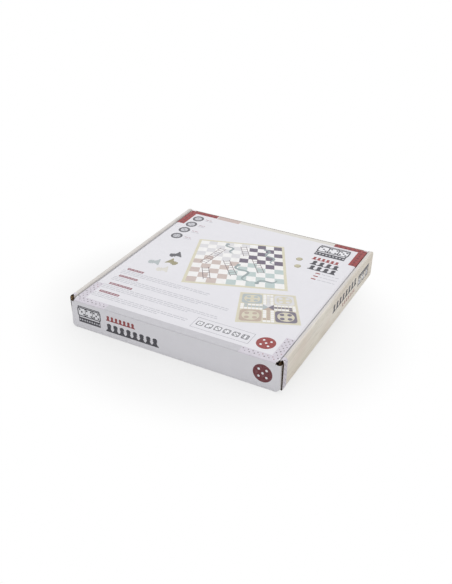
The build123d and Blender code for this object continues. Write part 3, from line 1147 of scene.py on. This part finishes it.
lid_right_half = (lid_ear_x, lid_flat_x, tuck_half)
lid_line = folded_line([(x, lid_z) for x in (*lid_right_half, *(-x for x in lid_right_half[::-1]))])
lid_x = np.abs(lid_line["place"][:, 0])
lid_corner = np.clip((lid_x - lid_edge_x) / (lid_box[3] - lid_edge_x), 0, 1)
lid_low = np.where(lid_x <= lid_edge_x, lid_near_y, lid_box[1] + corner_cut_length * lid_corner)
lid_high = np.where(lid_x <= tuck_half, lid_far_y, lid_ear_far)
lid_rows = [dust_box[1], dust_box[4], *even_rows]
sheet_piece(
    "lid_board", carton_board, "lid", "printed_card", ["lid_panel"],
    lid_line, lay_lid, lid_low, lid_high, rows=lid_rows,
    hole=lambda x, z, y: (np.abs(x) > lid_flat_x) & (y > dust_box[1]) & (y < dust_box[4]),
)
hinge_crease_line = folded_line([
    (hinge_mid_y, lid_crease_low),
    (hinge_mid_y, lid_z, crease_bend),
    (lid_near_y, lid_z),
][::-1])


def hinge_cover(y, z, x):
    """Print running up to the hinge crease: a grey band between two dotted grounds."""
    in_band = (x > band_x[0]) & (x < band_x[1])
    return np.where(z > lid_z - crease_print, np.where(in_band, first_print, second_print), paper_face)


hinge_crease = crease_strip(
    "lid_hinge_crease", hinge_crease_line, lid_edge_x, None,
    carton_board + [inks["band_grey"], inks["dot_ground"]], hinge_cover, lid_crease_crush,
)
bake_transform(hinge_crease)
for body, stretched_liner in (
    ("lid", [(2.1, -0.62), (0.95, -0.58), (0.3, -0.5), (-0.2, -0.4), (-0.3, -0.2)]),
    ("tray", [(0.62, -2.4), (0.62, -1.3), (0.55, -0.6), (0.35, 0.1), (0.1, 0.2)]),
):
    liner_line = folded_line([(hinge_mid_y + y, lid_z + z) for y, z in stretched_liner])
    sheet_piece(
        f"hinge_crease_liner_{body}", [kraft_liner] * 3, body, "printed_card", [],
        liner_line, lay_across, -lid_edge_x, lid_edge_x,
        rows=even_rows, layers=thin_sheet(thin_liner), crush=0.0,
    )
tuck_crease_line = folded_line([
    (lid_far_y, lid_z),
    (tuck_axis_y, lid_z, tuck_bend),
    (tuck_axis_y - sin(tuck_lean) * tuck_reach, lid_z - cos(tuck_lean) * tuck_reach),
][::-1])


def far_cover(y, z, x):
    """Print running over the far crease: red at both ends, a patch, and a band between."""
    ends = (red_corner_x[0], *patch_x, red_corner_x[1])
    faces = (first_print, paper_face, second_print, third_print, first_print)
    return np.choose(np.searchsorted(ends, x), faces)


tuck_crease = crease_strip(
    "tuck_flap_crease", tuck_crease_line, tuck_half, None,
    carton_board + [inks["red"], inks["beige"], inks["cream"]], far_cover, lid_crease_crush,
)
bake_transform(tuck_crease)
dust_crease_line = folded_line([
    (dust_axis_x - sin(dust_lean) * crease_reach, lid_z - cos(dust_lean) * crease_reach),
    (dust_axis_x, lid_z, dust_bend),
    (lid_flat_x, lid_z),
])


def lay_mirrored(side):
    """Layout of a sheet on one side, from the same line for both."""
    return lambda x, z, y: np.broadcast_arrays(side * x, y, z)


def side_crease_print_and_shade(red_from):
    """Print running over a side crease: red beside the far bracket, and before it grey over the rounded
    edge, a painted shade of the groove by the rim.
    """
    def cover(x, z, y):
        top = np.where(x > dust_axis_x - side_crease_shade_width, second_print, paper_face)
        return np.where(y > red_from, first_print, top)
    return cover


for side, hand in ((-1, "left"), (1, "right")):
    red_from = red_corner_y[(side + 1) // 2]
    dust_crease = sheet_piece(
        f"dust_flap_crease_{hand}", carton_board + [inks["red"], inks["band_grey"]], None,
        "printed_card", [], dust_crease_line, lay_mirrored(side), dust_box[1], dust_box[4],
        rows=(red_from,), cover=side_crease_print_and_shade(red_from),
    )
    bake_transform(dust_crease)

# Print on the lid. Red brackets at the far corners and dotted ones at the hinge, joined by a cream
# and a grey band, pictures of both faces of the board, pawns and dice, and plain bars.


def lid_place(x, y, height):
    """Places on top of the lid."""
    return x, y, lid_z + skin + float(lid_dome(x, y)) + height


def through(shapes, corners):
    """Shapes of a unit square seen slanting: corners are low left, low right, high right, high left."""
    a, b, c, d = (np.array(corner, float) for corner in corners)
    sides = np.stack([b - c, d - c], 1)
    g, h = np.linalg.solve(sides, a - b + c - d)
    across = b - a + g * b
    up = d - a + h * d
    warped = []
    for ink_name, level, outline in shapes:
        points = []
        for u, v in outline:
            spot = (across * u + up * v + a) / (g * u + h * v + 1)
            points.append((float(spot[0]), float(spot[1])))
        warped.append((ink_name, level, points))
    return warped


board_ladders = (
    (0.13, 0.42, 0.30, 0.80),
    (0.22, 0.10, 0.17, 0.33),
    (0.47, 0.20, 0.36, 0.52),
    (0.74, 0.30, 0.66, 0.62),
    (0.57, 0.66, 0.52, 0.90),
)
board_snakes = (
    (0.42, 0.70, 0.34, 0.93, 3, 0.03),
    (0.62, 0.12, 0.50, 0.44, 3, 0.05),
    (0.90, 0.18, 0.70, 0.10, 2, 0.03),
    (0.88, 0.52, 0.78, 0.86, 4, 0.035),
)


def ladder(x0, y0, x1, y1):
    """Two rails and their rungs, in a unit square."""
    width, half_rail, rung_step = 0.065, 0.003, 0.045
    length = sqrt((x1 - x0) ** 2 + (y1 - y0) ** 2)
    angle = atan2(y1 - y0, x1 - x0)
    bars = []
    for middle in (-width / 2, width / 2):
        bars.append(rectangle(0, middle - half_rail, length, middle + half_rail))
    rungs = int(length / rung_step)
    rung_half = width / 2 - half_rail
    for number in range(rungs):
        at = (number + 0.5) * length / rungs
        bars.append(rectangle(at - half_rail, -rung_half, at + half_rail, rung_half))
    return [("ladder", 4, spin(bar, x0, y0, angle)) for bar in bars]


def snake(x0, y0, x1, y1, bends, swing):
    """A winding line, thick in the middle and thin at the tail, with a round head."""
    length = sqrt((x1 - x0) ** 2 + (y1 - y0) ** 2)
    angle = atan2(y1 - y0, x1 - x0)
    width = 0.026
    steps = 36
    left, right = [], []
    for number in range(steps + 1):
        share = number / steps
        slope = swing * bends * pi / length * cos(bends * pi * share)
        turn = atan2(slope, 1.0)
        half = width / 2 * (0.35 + 0.65 * min(1.0, 3 * share))
        x, y = share * length, swing * sin(bends * pi * share)
        left.append((x - half * sin(turn), y + half * cos(turn)))
        right.append((x + half * sin(turn), y - half * cos(turn)))
    body = left + right[::-1]
    head = arc_points(length, 0.0, width * 0.85, count=12)
    return [("snake", 3, spin(body, x0, y0, angle)), ("snake", 4, spin(head, x0, y0, angle))]


def board_ground(field, rim, corner):
    """Ground of a board's print, with its corners round if wanted, and the field inside the rim."""
    ground = rounded(0, 0, 1, 1, corner) if corner else rectangle(0, 0, 1, 1)
    return [("olive", 0, ground), (field, 1, rectangle(rim, rim, 1 - rim, 1 - rim))]


def ladders_board(corner=0.0):
    """Snakes and ladders in a unit square: ten by ten cells tinted by where they lie."""
    rim = 0.03
    cell = (1 - 2 * rim) / 10
    shapes = board_ground("cell_white", rim, corner)
    tints = ("slate", "cloud", "tan", "mint")
    tints_turn = radians(12)
    for row in range(10):
        for column in range(10):
            if (row + column) % 2:
                continue
            x, y = column - 4.5, row - 4.5
            sector = int((atan2(y, x) + tints_turn) % tau / (pi / 2))
            left, low = rim + column * cell, rim + row * cell
            shapes.append((tints[sector], 2, rectangle(left, low, left + cell, low + cell)))
    for ends in board_ladders:
        shapes += ladder(*ends)
    for ends_and_bends in board_snakes:
        shapes += snake(*ends_and_bends)
    return shapes


def ludo_board(corner=0.0):
    """Ludo in a unit square: a cross of cells, four home yards with round places, a centre."""
    rim = 0.025
    cell = (1 - 2 * rim - 0.02) / 15
    first = rim + 0.01
    yards = {"clay": (0, 0), "plum": (9, 0), "cloud": (9, 9), "sky": (0, 9)}
    shapes = board_ground("board_cream", rim, corner)
    for tint, (column, row) in yards.items():
        x = first + (column + 3) * cell
        y = first + (row + 3) * cell
        half = 2.8 * cell
        shapes.append((tint, 2, rounded(x - half, y - half, x + half, y + half, cell)))
        shapes.append(("board_cream", 3, arc_points(x, y, 2.25 * cell, count=32)))
        for u, v in pip_patterns[4]:
            shapes.append((tint, 4, arc_points(x + u * cell, y + v * cell, 0.62 * cell, count=14)))
    homes = {(7, 1): "clay", (1, 7): "sky", (7, 13): "cloud", (13, 7): "plum"}
    arms = [(column, row) for column in (6, 7, 8) for row in (*range(6), *range(9, 15))]
    arms += [(row, column) for column, row in arms]
    starts = {(6, 1): "clay", (1, 8): "sky", (8, 13): "cloud", (13, 6): "plum"}
    for column, row in arms:
        tint = starts.get((column, row), "cell_white")
        for (home_column, home_row), home in homes.items():
            inside = 1 <= column <= 13 and 1 <= row <= 13
            same_arm = abs(column - home_column) <= 4 and abs(row - home_row) <= 4
            if inside and same_arm and (column == home_column == 7 or row == home_row == 7):
                tint = home
        x, y = first + column * cell, first + row * cell
        inset = cell * 0.07
        shapes.append((tint, 2, rectangle(x + inset, y + inset, x + cell - inset, y + cell - inset)))
    low, high, middle = first + 6 * cell, first + 9 * cell, first + 7.5 * cell
    corners = rectangle(low, low, high, high)
    for number, tint in enumerate(yards):
        shapes.append((tint, 2, [corners[number], corners[(number + 1) % 4], (middle, middle)]))
    return shapes


def words(ink_name, x0, x1, y, height, seed, level=0):
    """A row of plain bars of uneven length."""
    draw = random.Random(seed)
    shapes = []
    x = x0
    while x < x1 - height:
        width = min(draw.uniform(2.2, 6.5) * height, x1 - x)
        shapes.append((ink_name, level, rectangle(x, y - height / 2, x + width, y + height / 2)))
        x += width + height * 0.8
    return shapes


lid_left, lid_right = -lid_flat_x - 2.2, lid_flat_x + 2.2
lid_near, lid_far = -148.5, lid_far_y
bracket = 11.5
far_arm = 7.5
patch_depth = 8.5
far_band_depth = 6.5
motif_pitch = 6.5
motif_radius = 2.2
lid_shapes = []
for x0, y0, x1, y1 in (
    (lid_left, lid_far - far_arm, red_corner_x[0], lid_far),
    (lid_left, red_corner_y[0], lid_left + bracket, lid_far - far_arm),
    (red_corner_x[1], lid_far - far_arm, lid_right, lid_far),
    (lid_right - bracket + 0.7, red_corner_y[1], lid_right, lid_far - far_arm),
):
    lid_shapes += [("red", 0, rectangle(x0, y0, x1, y1))]
    along = (x1 - x0, 0) if x1 - x0 > y1 - y0 else (0, y1 - y0)
    steps = int(sum(along) / motif_pitch)
    for number in range(steps):
        share = (number + 0.5) / steps - 0.5
        x, y = (x0 + x1) / 2 + along[0] * share, (y0 + y1) / 2 + along[1] * share
        lid_shapes += [("deep_red", 1, arc_points(x, y, motif_radius, count=4))]
lid_shapes += [("beige", 0, rectangle(patch_x[0], lid_far - patch_depth, patch_x[1], lid_far))]
lid_shapes += [("cream", 0, rectangle(patch_x[1], lid_far - far_band_depth, red_corner_x[1], lid_far))]
band_high = -139.2
lid_shapes += [("band_grey", 0, rectangle(band_x[0], lid_near, band_x[1], band_high))]
dotted_high = -100.0
lid_dots = (6.2, 0.9)
for number, (x0, x1) in enumerate(((-lid_edge_x, band_x[0]), (band_x[1], lid_edge_x))):
    lid_shapes += dots(x0, lid_near, x1, band_high, *lid_dots, 21 + number)
for number, (x0, x1) in enumerate(((lid_left, lid_left + bracket), (lid_right - bracket, lid_right))):
    lid_shapes += dots(x0, band_high, x1, dotted_high, *lid_dots, 31 + number)
icon_x = -119.1
for number, y in enumerate((125.0, 104.1, 83.7, 62.1)):
    lid_shapes += ring("icon_grey", 0, icon_x, y, 8.6, 5.4)
    lid_shapes += [("light_grey", 0, arc_points(icon_x, y, 5.3, count=24))]
    lid_shapes += pips("grey", 1, number + 1, icon_x, y, 2.1, 1.2)
    lid_shapes += words("dot_red", -107.0, -97.0, y + 2.2, 1.4, 41 + number)
    lid_shapes += words("light_grey", -107.0, -94.0, y - 1.6, 1.6, 51 + number)
big_corners = ((-44.1, -49.4), (88.4, -4.2), (33.6, 103.6), (-83.8, 68.2))
small_corners = ((61.6, -99.3), (135.1, -68.4), (101.7, -9.5), (35.9, -34.9))
lid_shapes += through(ladders_board(), big_corners)
lid_shapes += through(ludo_board(), small_corners)
pictured = (
    ("icon_grey", -89.9, 10.4, 2.2),
    ("sky", -105.4, -20.1, 1.9),
    ("gold", -81.7, -9.5, -1.9),
    ("cream", -84.6, -32.5, 2.0),
)
pictured_height = 16.0
stout = pawn_outline(1.5)
for tint, x, y, angle in pictured:
    foot = (x + pictured_height / 2 * sin(angle), y - pictured_height / 2 * cos(angle))
    lid_shapes += [(tint, 0, spin(stout, *foot, angle, pictured_height))]
for x, y, count in ((66.7, 81.6, 5), (72.4, 62.5, 2)):
    lid_shapes += [("gold", 0, arc_points(x, y, 4.6)), ("token", 1, arc_points(x - 0.6, y + 0.8, 3.7))]
    lid_shapes += pips("gold", 2, count, x - 0.6, y + 0.8, 1.5, 0.55)
lid_shapes += dice_block(78.2, 104.8, 122.5, 134.8)
lid_shapes += pawn_row("red", 81.0, 120.0, 90.0, 8.0, 6)
lid_shapes += pawn_row("dark", 84.0, 125.0, 76.0, 11.5, 4)
lid_shapes += pawn_row("dark", 86.0, 126.0, 62.5, 11.5, 4)
for number, y in enumerate((56.5, 48.5, 40.7)):
    lid_shapes += words("red", 101.3, 107.8, y, 2.4, 61 + number)
    lid_shapes += words("light_grey", 110.3, 134.5, y, 1.4, 71 + number)
heading_x = -125.7
heading_half = 2.2
line_x, line_first, line_step, line_height = -130.0, 5.2, 3.6, 1.5
heading_lengths = (25.0, 29.0, 35.0, 30.0)
for number, (y, end) in enumerate(((-52.9, 4.0), (-73.0, 42.0), (-95.1, 40.0), (-116.5, 9.0))):
    heading_end = heading_x + heading_lengths[number]
    heading = rectangle(heading_x, y - heading_half, heading_end, y + heading_half)
    lid_shapes += [("heading", 0, heading)]
    lid_shapes += words("dot_ground", heading_x + 1.5, heading_end - 1.5, y, 1.1, 91 + number, 1)
    for row in range(3):
        far = end if row < 2 else end - 40.0
        line_y = y - line_first - line_step * row
        lid_shapes += words("light_grey", line_x, far, line_y, line_height, 80 + 3 * number + row)
frame_low, frame_high, frame_left, frame_right = -132.8, -110.8, 18.0, 96.0
lid_shapes += frame_bars("grey", frame_left, frame_low, frame_right, frame_high, 0.5)
for number in range(6):
    x = frame_left + 8.5 + 12.2 * number
    lid_shapes += die_face(number + 1, x, (frame_low + frame_high) / 2, 9.0)
lid_shapes += red_disc(114.2, -121.3, 11.8, "disc_red")
print_films("lid_print", "lid", lid_place, lid_shapes)

# Tuck flap, at the lid's far crease. It leans inwards a little and slides down behind the tuck
# wall, with two large round corners to lead it in.
tuck_round = 12.0
tuck_tip = 30.0


def lay_tuck_flap(x, offset, depth):
    """Sheet of the tuck flap, in its own leaning plane."""
    y = tuck_axis_y + offset * cos(tuck_lean) + depth * sin(tuck_lean)
    return np.broadcast_arrays(x, y, lid_z - offset * sin(tuck_lean) + depth * cos(tuck_lean))


tuck_flap_line = folded_line([(tuck_half, 0.0), (-tuck_half, 0.0)])
tuck_beside = np.clip(np.abs(tuck_flap_line["place"][:, 0]) - tuck_half + tuck_round, 0, tuck_round)
tuck_edge = -tuck_tip + tuck_round - np.sqrt(tuck_round**2 - tuck_beside**2)
sheet_piece(
    "tuck_flap_board", carton_board, "tuck_flap", "printed_card", ["tuck_flap"],
    tuck_flap_line, lay_tuck_flap, tuck_edge, -tuck_reach, rows=(-12.0, -21.0),
)

# Dust flaps, at the lid's side creases. They go down inside the rolled walls, shallow at the hinge
# end so that they swing clear of the rims, and cut off slanting at the far end.
dust_tip = 28.0
dust_depths = (1.05, 3.0, 9.5, 18.0, 28.0)
dust_distances = (10.0, 16.0, 34.0, 66.0, 170.0)
dust_cut = 10.0
dust_line = folded_line([(0.0, -dust_tip), (0.0, -crease_reach)])
dust_depth = -dust_line["place"][:, 1]
dust_low = hinge_mid_y + np.interp(dust_depth, dust_depths, dust_distances)
dust_high = dust_box[4] - np.clip(dust_depth - (dust_tip - dust_cut), 0, dust_cut)
for side, hand in ((-1, "left"), (1, "right")):
    def lay_dust_flap(offset, depth, y, side=side):
        """Sheet of a dust flap, in its own leaning plane."""
        x = dust_axis_x + offset * cos(dust_lean) + depth * sin(dust_lean)
        z = lid_z - offset * sin(dust_lean) + depth * cos(dust_lean)
        return np.broadcast_arrays(side * x, y, z)

    sheet_piece(
        f"dust_flap_board_{hand}", carton_board, f"dust_flap_{hand}", "printed_card",
        [f"dust_flap_{hand}"], dust_line, lay_dust_flap, dust_low, dust_high,
        rows=(-90.0, -30.0, 30.0, 90.0),
    )

# Spacers under the board. Each is a strip of plain brown board folded down at both sides, and
# stands on the base beside the trough with a slit in its inner leg for each divider's tab.
kraft_board = [kraft_liner] * 3 + [kraft_medium]
deck_box = cad("spacer_deck_right")
outer_leg = cad("spacer_outer_wall_right")
inner_leg = cad("spacer_inner_wall_right")
spacer_bend = 0.9
tab_middle = (deck_box[5] + inner_leg[2]) / 2
tab_half = 6.0
slit_half = 1.05
slit_low = tab_middle - tab_half - slot_gap
slit_high = tab_middle + tab_half + slot_gap
divider_ys = [box_middle(cad(f"divider_{number}"), 1) for number in range(1, 7)]
outer_leg_x = box_middle(outer_leg, 0)
inner_leg_x = box_middle(inner_leg, 0)
deck_z = box_middle(deck_box, 2)
spacer_line = folded_line([
    (outer_leg_x, outer_leg[2]),
    (outer_leg_x, deck_z, spacer_bend),
    (inner_leg_x, deck_z, spacer_bend),
    (inner_leg_x, slit_high),
    (inner_leg_x, slit_low),
    (inner_leg_x, inner_leg[2]),
])


def slit_hole(x, z, y):
    """Slits of the inner leg."""
    in_slit = np.zeros(np.broadcast(x, y).shape, bool)
    for middle in divider_ys:
        in_slit |= np.abs(y - middle) < slit_half
    return in_slit & (np.abs(x - inner_leg_x) < on_layer) & (z > slit_low) & (z < slit_high)


slit_rows = [middle + edge for middle in divider_ys for edge in (-slit_half, slit_half)]
for side, hand in ((-1, "left"), (1, "right")):
    sheet_piece(
        f"spacer_{hand}", kraft_board, "tray", "kraft_card",
        [f"spacer_deck_{hand}", f"spacer_outer_wall_{hand}", f"spacer_inner_wall_{hand}"],
        spacer_line, lay_mirrored(side), deck_box[1], deck_box[4], rows=slit_rows, hole=slit_hole,
    )

# Dividers. Six upright walls of the same board part the trough into five compartments, each held
# by a tab at both ends in the spacers' slits.
divider_half = 49.7
for number, middle in enumerate(divider_ys, 1):
    box = cad(f"divider_{number}")
    divider_line = folded_line([(x, middle) for x in (box[0], -divider_half, divider_half, box[3])])
    in_tab = np.abs(divider_line["place"][:, 0]) > divider_half
    divider_low = np.where(in_tab, tab_middle - tab_half, box[2])
    divider_high = np.where(in_tab, tab_middle + tab_half, box[5])
    sheet_piece(
        f"divider_board_{number}", kraft_board, "tray", "kraft_card", [f"divider_{number}"],
        divider_line, lay_upright, divider_low, divider_high,
    )

# Playing board. Birch plywood with rounded corners and eased edges, printed on both faces: ludo on
# top, snakes and ladders below.
plywood_face = (222, 196, 156)
plywood_dark = (186, 148, 104)
ply_thickness = 1.6
board_box = cad("game_board")
print_margin = 2.4
print_corner = 0.026


def plywood():
    """Plywood: long figure on the faces, and light and dark plies round the edge."""
    made, tree, shader = new_material("plywood", 0.35)
    figure = effect(tree, wood_figure, Streak_Scale=60.0, Pore_Scale=520.0)
    face = mix_colour(tree, figure.outputs["Streak"], linear(plywood_face), linear(plywood_dark, 1.08))
    place = shader_node(tree, "SeparateXYZ", Vector=object_place(tree))
    ply = combine(tree, "MULTIPLY", place.outputs[2], pi / (ply_thickness * mm))
    layer = spread(tree, combine(tree, "SINE", ply), -0.15, 0.15)
    grain = noise(tree, 900.0, 3.0, stretch=(1.0, 1.0, 6.0))[0]
    end_grain = shades(tree, grain, plywood_dark, 0.82, 1.05)
    edge = mix_colour(tree, layer, end_grain, face)
    geometry = shader_node(tree, "NewGeometry")
    normal = shader_node(tree, "SeparateXYZ", Vector=geometry.outputs["Normal"])
    flatness = spread(tree, combine(tree, "ABSOLUTE", normal.outputs[2]), 0.8, 0.9)
    final = mix_colour(tree, flatness, edge, face)
    roughness = spread(tree, figure.outputs["Pore"], 0.0, 1.0, 0.45, 0.6)
    finish_surface(tree, shader, final, roughness, figure.outputs["Height"], bump=0.25)
    return made


def dress(node, material):
    """Give a CAD node its material."""
    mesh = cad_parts[node].data
    mesh.materials.clear()
    mesh.materials.append(material)


dress("game_board", plywood())
print_low = [board_box[axis] + print_margin for axis in (0, 1)]
print_high = [board_box[axis + 3] - print_margin for axis in (0, 1)]


def on_board(shapes, flip=1):
    """Shapes of a unit square laid over a face of the board."""
    return through(shapes, [(flip * x, y) for x, y in rectangle(*print_low, *print_high)])


print_films(
    "ludo_print", "game_board", lambda x, y, height: (x, y, board_box[5] + height),
    on_board(ludo_board(print_corner)),
)
print_films(
    "ladders_print", "game_board", lambda x, y, height: (x, y, board_box[2] - height),
    on_board(ladders_board(print_corner), -1),
)

# Pawns. Sixteen turned beech pawns, four in each of four satin paints, standing in the trough.
pawn_colours = {
    "slate": (78, 80, 96),
    "blue": (150, 170, 186),
    "sage": (176, 182, 140),
    "beige": (222, 208, 180),
}
bare_wood = (214, 184, 142)
pawn_sides = 56


def painted_wood(name, colour):
    """Satin paint on turned wood, thin enough for the grain to show, rubbed at its edges."""
    made, tree, shader = new_material(name, 0.45)
    figure = effect(tree, wood_figure, Streak_Scale=160.0, Pore_Scale=900.0)
    cloud = effect(tree, paper_fibre, Cloud_Scale=220.0)
    tint = shades(tree, cloud.outputs["Mottle"], colour, 0.93, 1.07)
    pore = combine(tree, "MULTIPLY", figure.outputs["Pore"], 0.3)
    grained = mix_colour(tree, pore, tint, linear(colour, 0.8))
    point = shader_node(tree, "NewGeometry").outputs["Pointiness"]
    rubbed = spread(tree, cloud.outputs["Mottle"], 0.5, 0.62)
    worn = combine(tree, "MULTIPLY", spread(tree, point, 0.54, 0.62), rubbed)
    final = mix_colour(tree, worn, grained, linear(bare_wood))
    roughness = spread(tree, cloud.outputs["Mottle"], 0.3, 0.7, 0.3, 0.42)
    finish_surface(tree, shader, final, roughness, figure.outputs["Height"], bump=0.08)
    return made


def lathe(name, profile):
    """Mesh turned about Z from places given as radius and height; both ends lie on the axis."""
    vertices, faces = [], []
    for radius, height in profile[1:-1]:
        vertices += [(radius * cos(tau * n / pawn_sides), radius * sin(tau * n / pawn_sides), height)
                     for n in range(pawn_sides)]
    top = len(vertices)
    vertices += [(0, 0, profile[0][1]), (0, 0, profile[-1][1])]
    rings = len(profile) - 2
    for n in range(pawn_sides):
        beside = (n + 1) % pawn_sides
        faces.append((top, n, beside))
        faces.append((top + 1, (rings - 1) * pawn_sides + beside, (rings - 1) * pawn_sides + n))
        for level in range(rings - 1):
            low = level * pawn_sides
            faces.append((low + n, low + pawn_sides + n, low + pawn_sides + beside, low + beside))
    mesh = bpy.data.meshes.new(name)
    mesh.from_pydata([(x * mm, y * mm, z * mm) for x, y, z in vertices], [], faces)
    clean_mesh(mesh, radians(50))
    return mesh


def pawn_profile():
    """Foot with a bead and a groove, hollow waist, collar and round head."""
    height = cad("pawn_slate_1")[5] - cad("pawn_slate_1")[2]
    foot, neck, collar, head = 7.5, 2.9, 4.2, 4.7
    head_z = height - head
    neck_top = head_z - sqrt(head**2 - neck**2)
    neck_low = neck_top - (collar - neck)
    profile = [(0.0, 0.25), (foot - 1.6, 0.25), (foot - 1.3, 0.0), (foot - 0.5, 0.0)]
    profile += [(foot - 0.5 + 0.5 * sin(a), 0.5 - 0.5 * cos(a)) for a in (0.5, 1.0, pi / 2)]
    profile += [(foot, 1.5), (foot - 0.1, 1.9), (foot - 0.4, 2.2)]
    profile += [(foot - 0.9, 2.35), (foot - 1.5, 2.4)]
    for share in np.linspace(0.08, 1.0, 18):
        pull = (1 - share) ** 2.4
        profile.append((neck + (foot - 1.6 - neck) * pull, 2.4 + (neck_low - 2.4) * share))
    middle = (neck_low + neck_top) / 2
    reach = (neck_top - neck_low) / 2
    for angle in np.linspace(-pi / 2 + 0.3, pi / 2 - 0.3, 9):
        profile.append((neck + (collar - neck) * cos(angle), middle + reach * sin(angle)))
    start = -pi / 2 + np.arcsin(neck / head)
    for angle in np.linspace(start, pi / 2 - 0.12, 22):
        profile.append((head * cos(angle), head_z + head * sin(angle)))
    return profile + [(0.0, height)]


pawn_mesh = lathe("pawn", pawn_profile())
for colour, tint in pawn_colours.items():
    mesh = pawn_mesh.copy()
    mesh.materials.append(painted_wood(f"paint_{colour}", tint))
    for number in range(1, 5):
        node = f"pawn_{colour}_{number}"
        box = cad(node)
        piece = add_object(f"turned_{node}", mesh)
        piece.location = Vector((box_middle(box, 0), box_middle(box, 1), box[2])) * mm
        piece.rotation_euler.z = number * 1.1
        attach(piece, node)
        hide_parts(node)

# Dice. Two small beech cubes with round corners, oiled, with sunk pips painted dark.
die_colour = (224, 198, 156)
die_dark = (52, 44, 40)
die_half = 7.5
pip_depths = (0.02, 0.05)
flat_insets = (1.62, 1.7)


def die_wood(node):
    """Oiled wood, dark wherever the surface lies sunk below a flat of the cube."""
    made, tree, shader = new_material(f"die_wood_{node[-1]}", 0.4)
    box = cad(node)
    middle = [-box_middle(box, axis) * mm for axis in range(3)]
    figure = effect(tree, wood_figure, Streak_Scale=190.0, Pore_Scale=1300.0)
    wood = shades(tree, figure.outputs["Streak"], die_colour, 1.0, 0.86)
    parts = shader_node(tree, "SeparateXYZ", Vector=object_place(tree, shift=middle))
    x, y, z = (combine(tree, "ABSOLUTE", parts.outputs[axis]) for axis in range(3))
    larger = combine(tree, "MAXIMUM", x, y)
    smaller = combine(tree, "MINIMUM", x, y)
    largest = combine(tree, "MAXIMUM", larger, z)
    second = combine(tree, "MAXIMUM", smaller, combine(tree, "MINIMUM", larger, z))
    sunk = spread(tree, largest, *((die_half - depth) * mm for depth in pip_depths))
    on_flat = spread(tree, second, *((die_half - inset) * mm for inset in flat_insets))
    final = mix_colour(tree, combine(tree, "MULTIPLY", sunk, on_flat), wood, linear(die_dark))
    roughness = spread(tree, figure.outputs["Pore"], 0.0, 1.0, 0.36, 0.5)
    finish_surface(tree, shader, final, roughness, figure.outputs["Height"], bump=0.15)
    return made


for node in ("die_1", "die_2"):
    dress(node, die_wood(node))

# Rules. One sheet of thin paper folded to and fro into a small leaflet, with pawns on its cover.
rules_box = cad("rules_leaflet")
rules_layers = 7
rules_half = 0.09
rules_pitch = (rules_box[5] - rules_box[2] - 2 * rules_half) / (rules_layers - 1)
rules_bend = rules_pitch * 0.45
rules_uneven = 0.15
rules_colours = ((240, 238, 232), (230, 228, 222))
rules_margin = 6
rules_paper = paper("rules_paper", *rules_colours, rough=(0.7, 0.8), wear=0.2)
rules_corners = []
for number in range(rules_layers):
    ends = [rules_box[0] + rules_half, rules_box[3] - rules_half - rules_uneven * (number % 3)]
    z = rules_box[2] + rules_half + number * rules_pitch
    for x in ends if number % 2 == 0 else ends[::-1]:
        rules_corners.append((x, z, rules_bend))
rules_corners[0] = rules_corners[0][:2]
rules_corners[-1] = rules_corners[-1][:2]
rules_line = folded_line(rules_corners, step=4.0)
sheet_piece(
    "folded_rules", [rules_paper] * 4, "rules_leaflet", "paper", ["rules_leaflet"],
    rules_line, lay_mirrored(1), rules_box[1], rules_box[4], layers=thin_sheet(rules_half), crush=0.0,
)
rules_left, rules_right = rules_box[0] + rules_margin, rules_box[3] - rules_margin
rules_shapes = pawn_row("slate", rules_left, rules_right, rules_box[1] + 20, 12.0, 3)
rules_shapes += words("light_grey", rules_left, rules_right, rules_box[1] + 12, 1.2, 97)
rules_shapes += words("light_grey", rules_left, rules_right - rules_margin, rules_box[1] + 9, 1.2, 98)
print_films(
    "rules_cover_print", "rules_leaflet", lambda x, y, height: (x, y, rules_box[5] + height),
    rules_shapes,
)
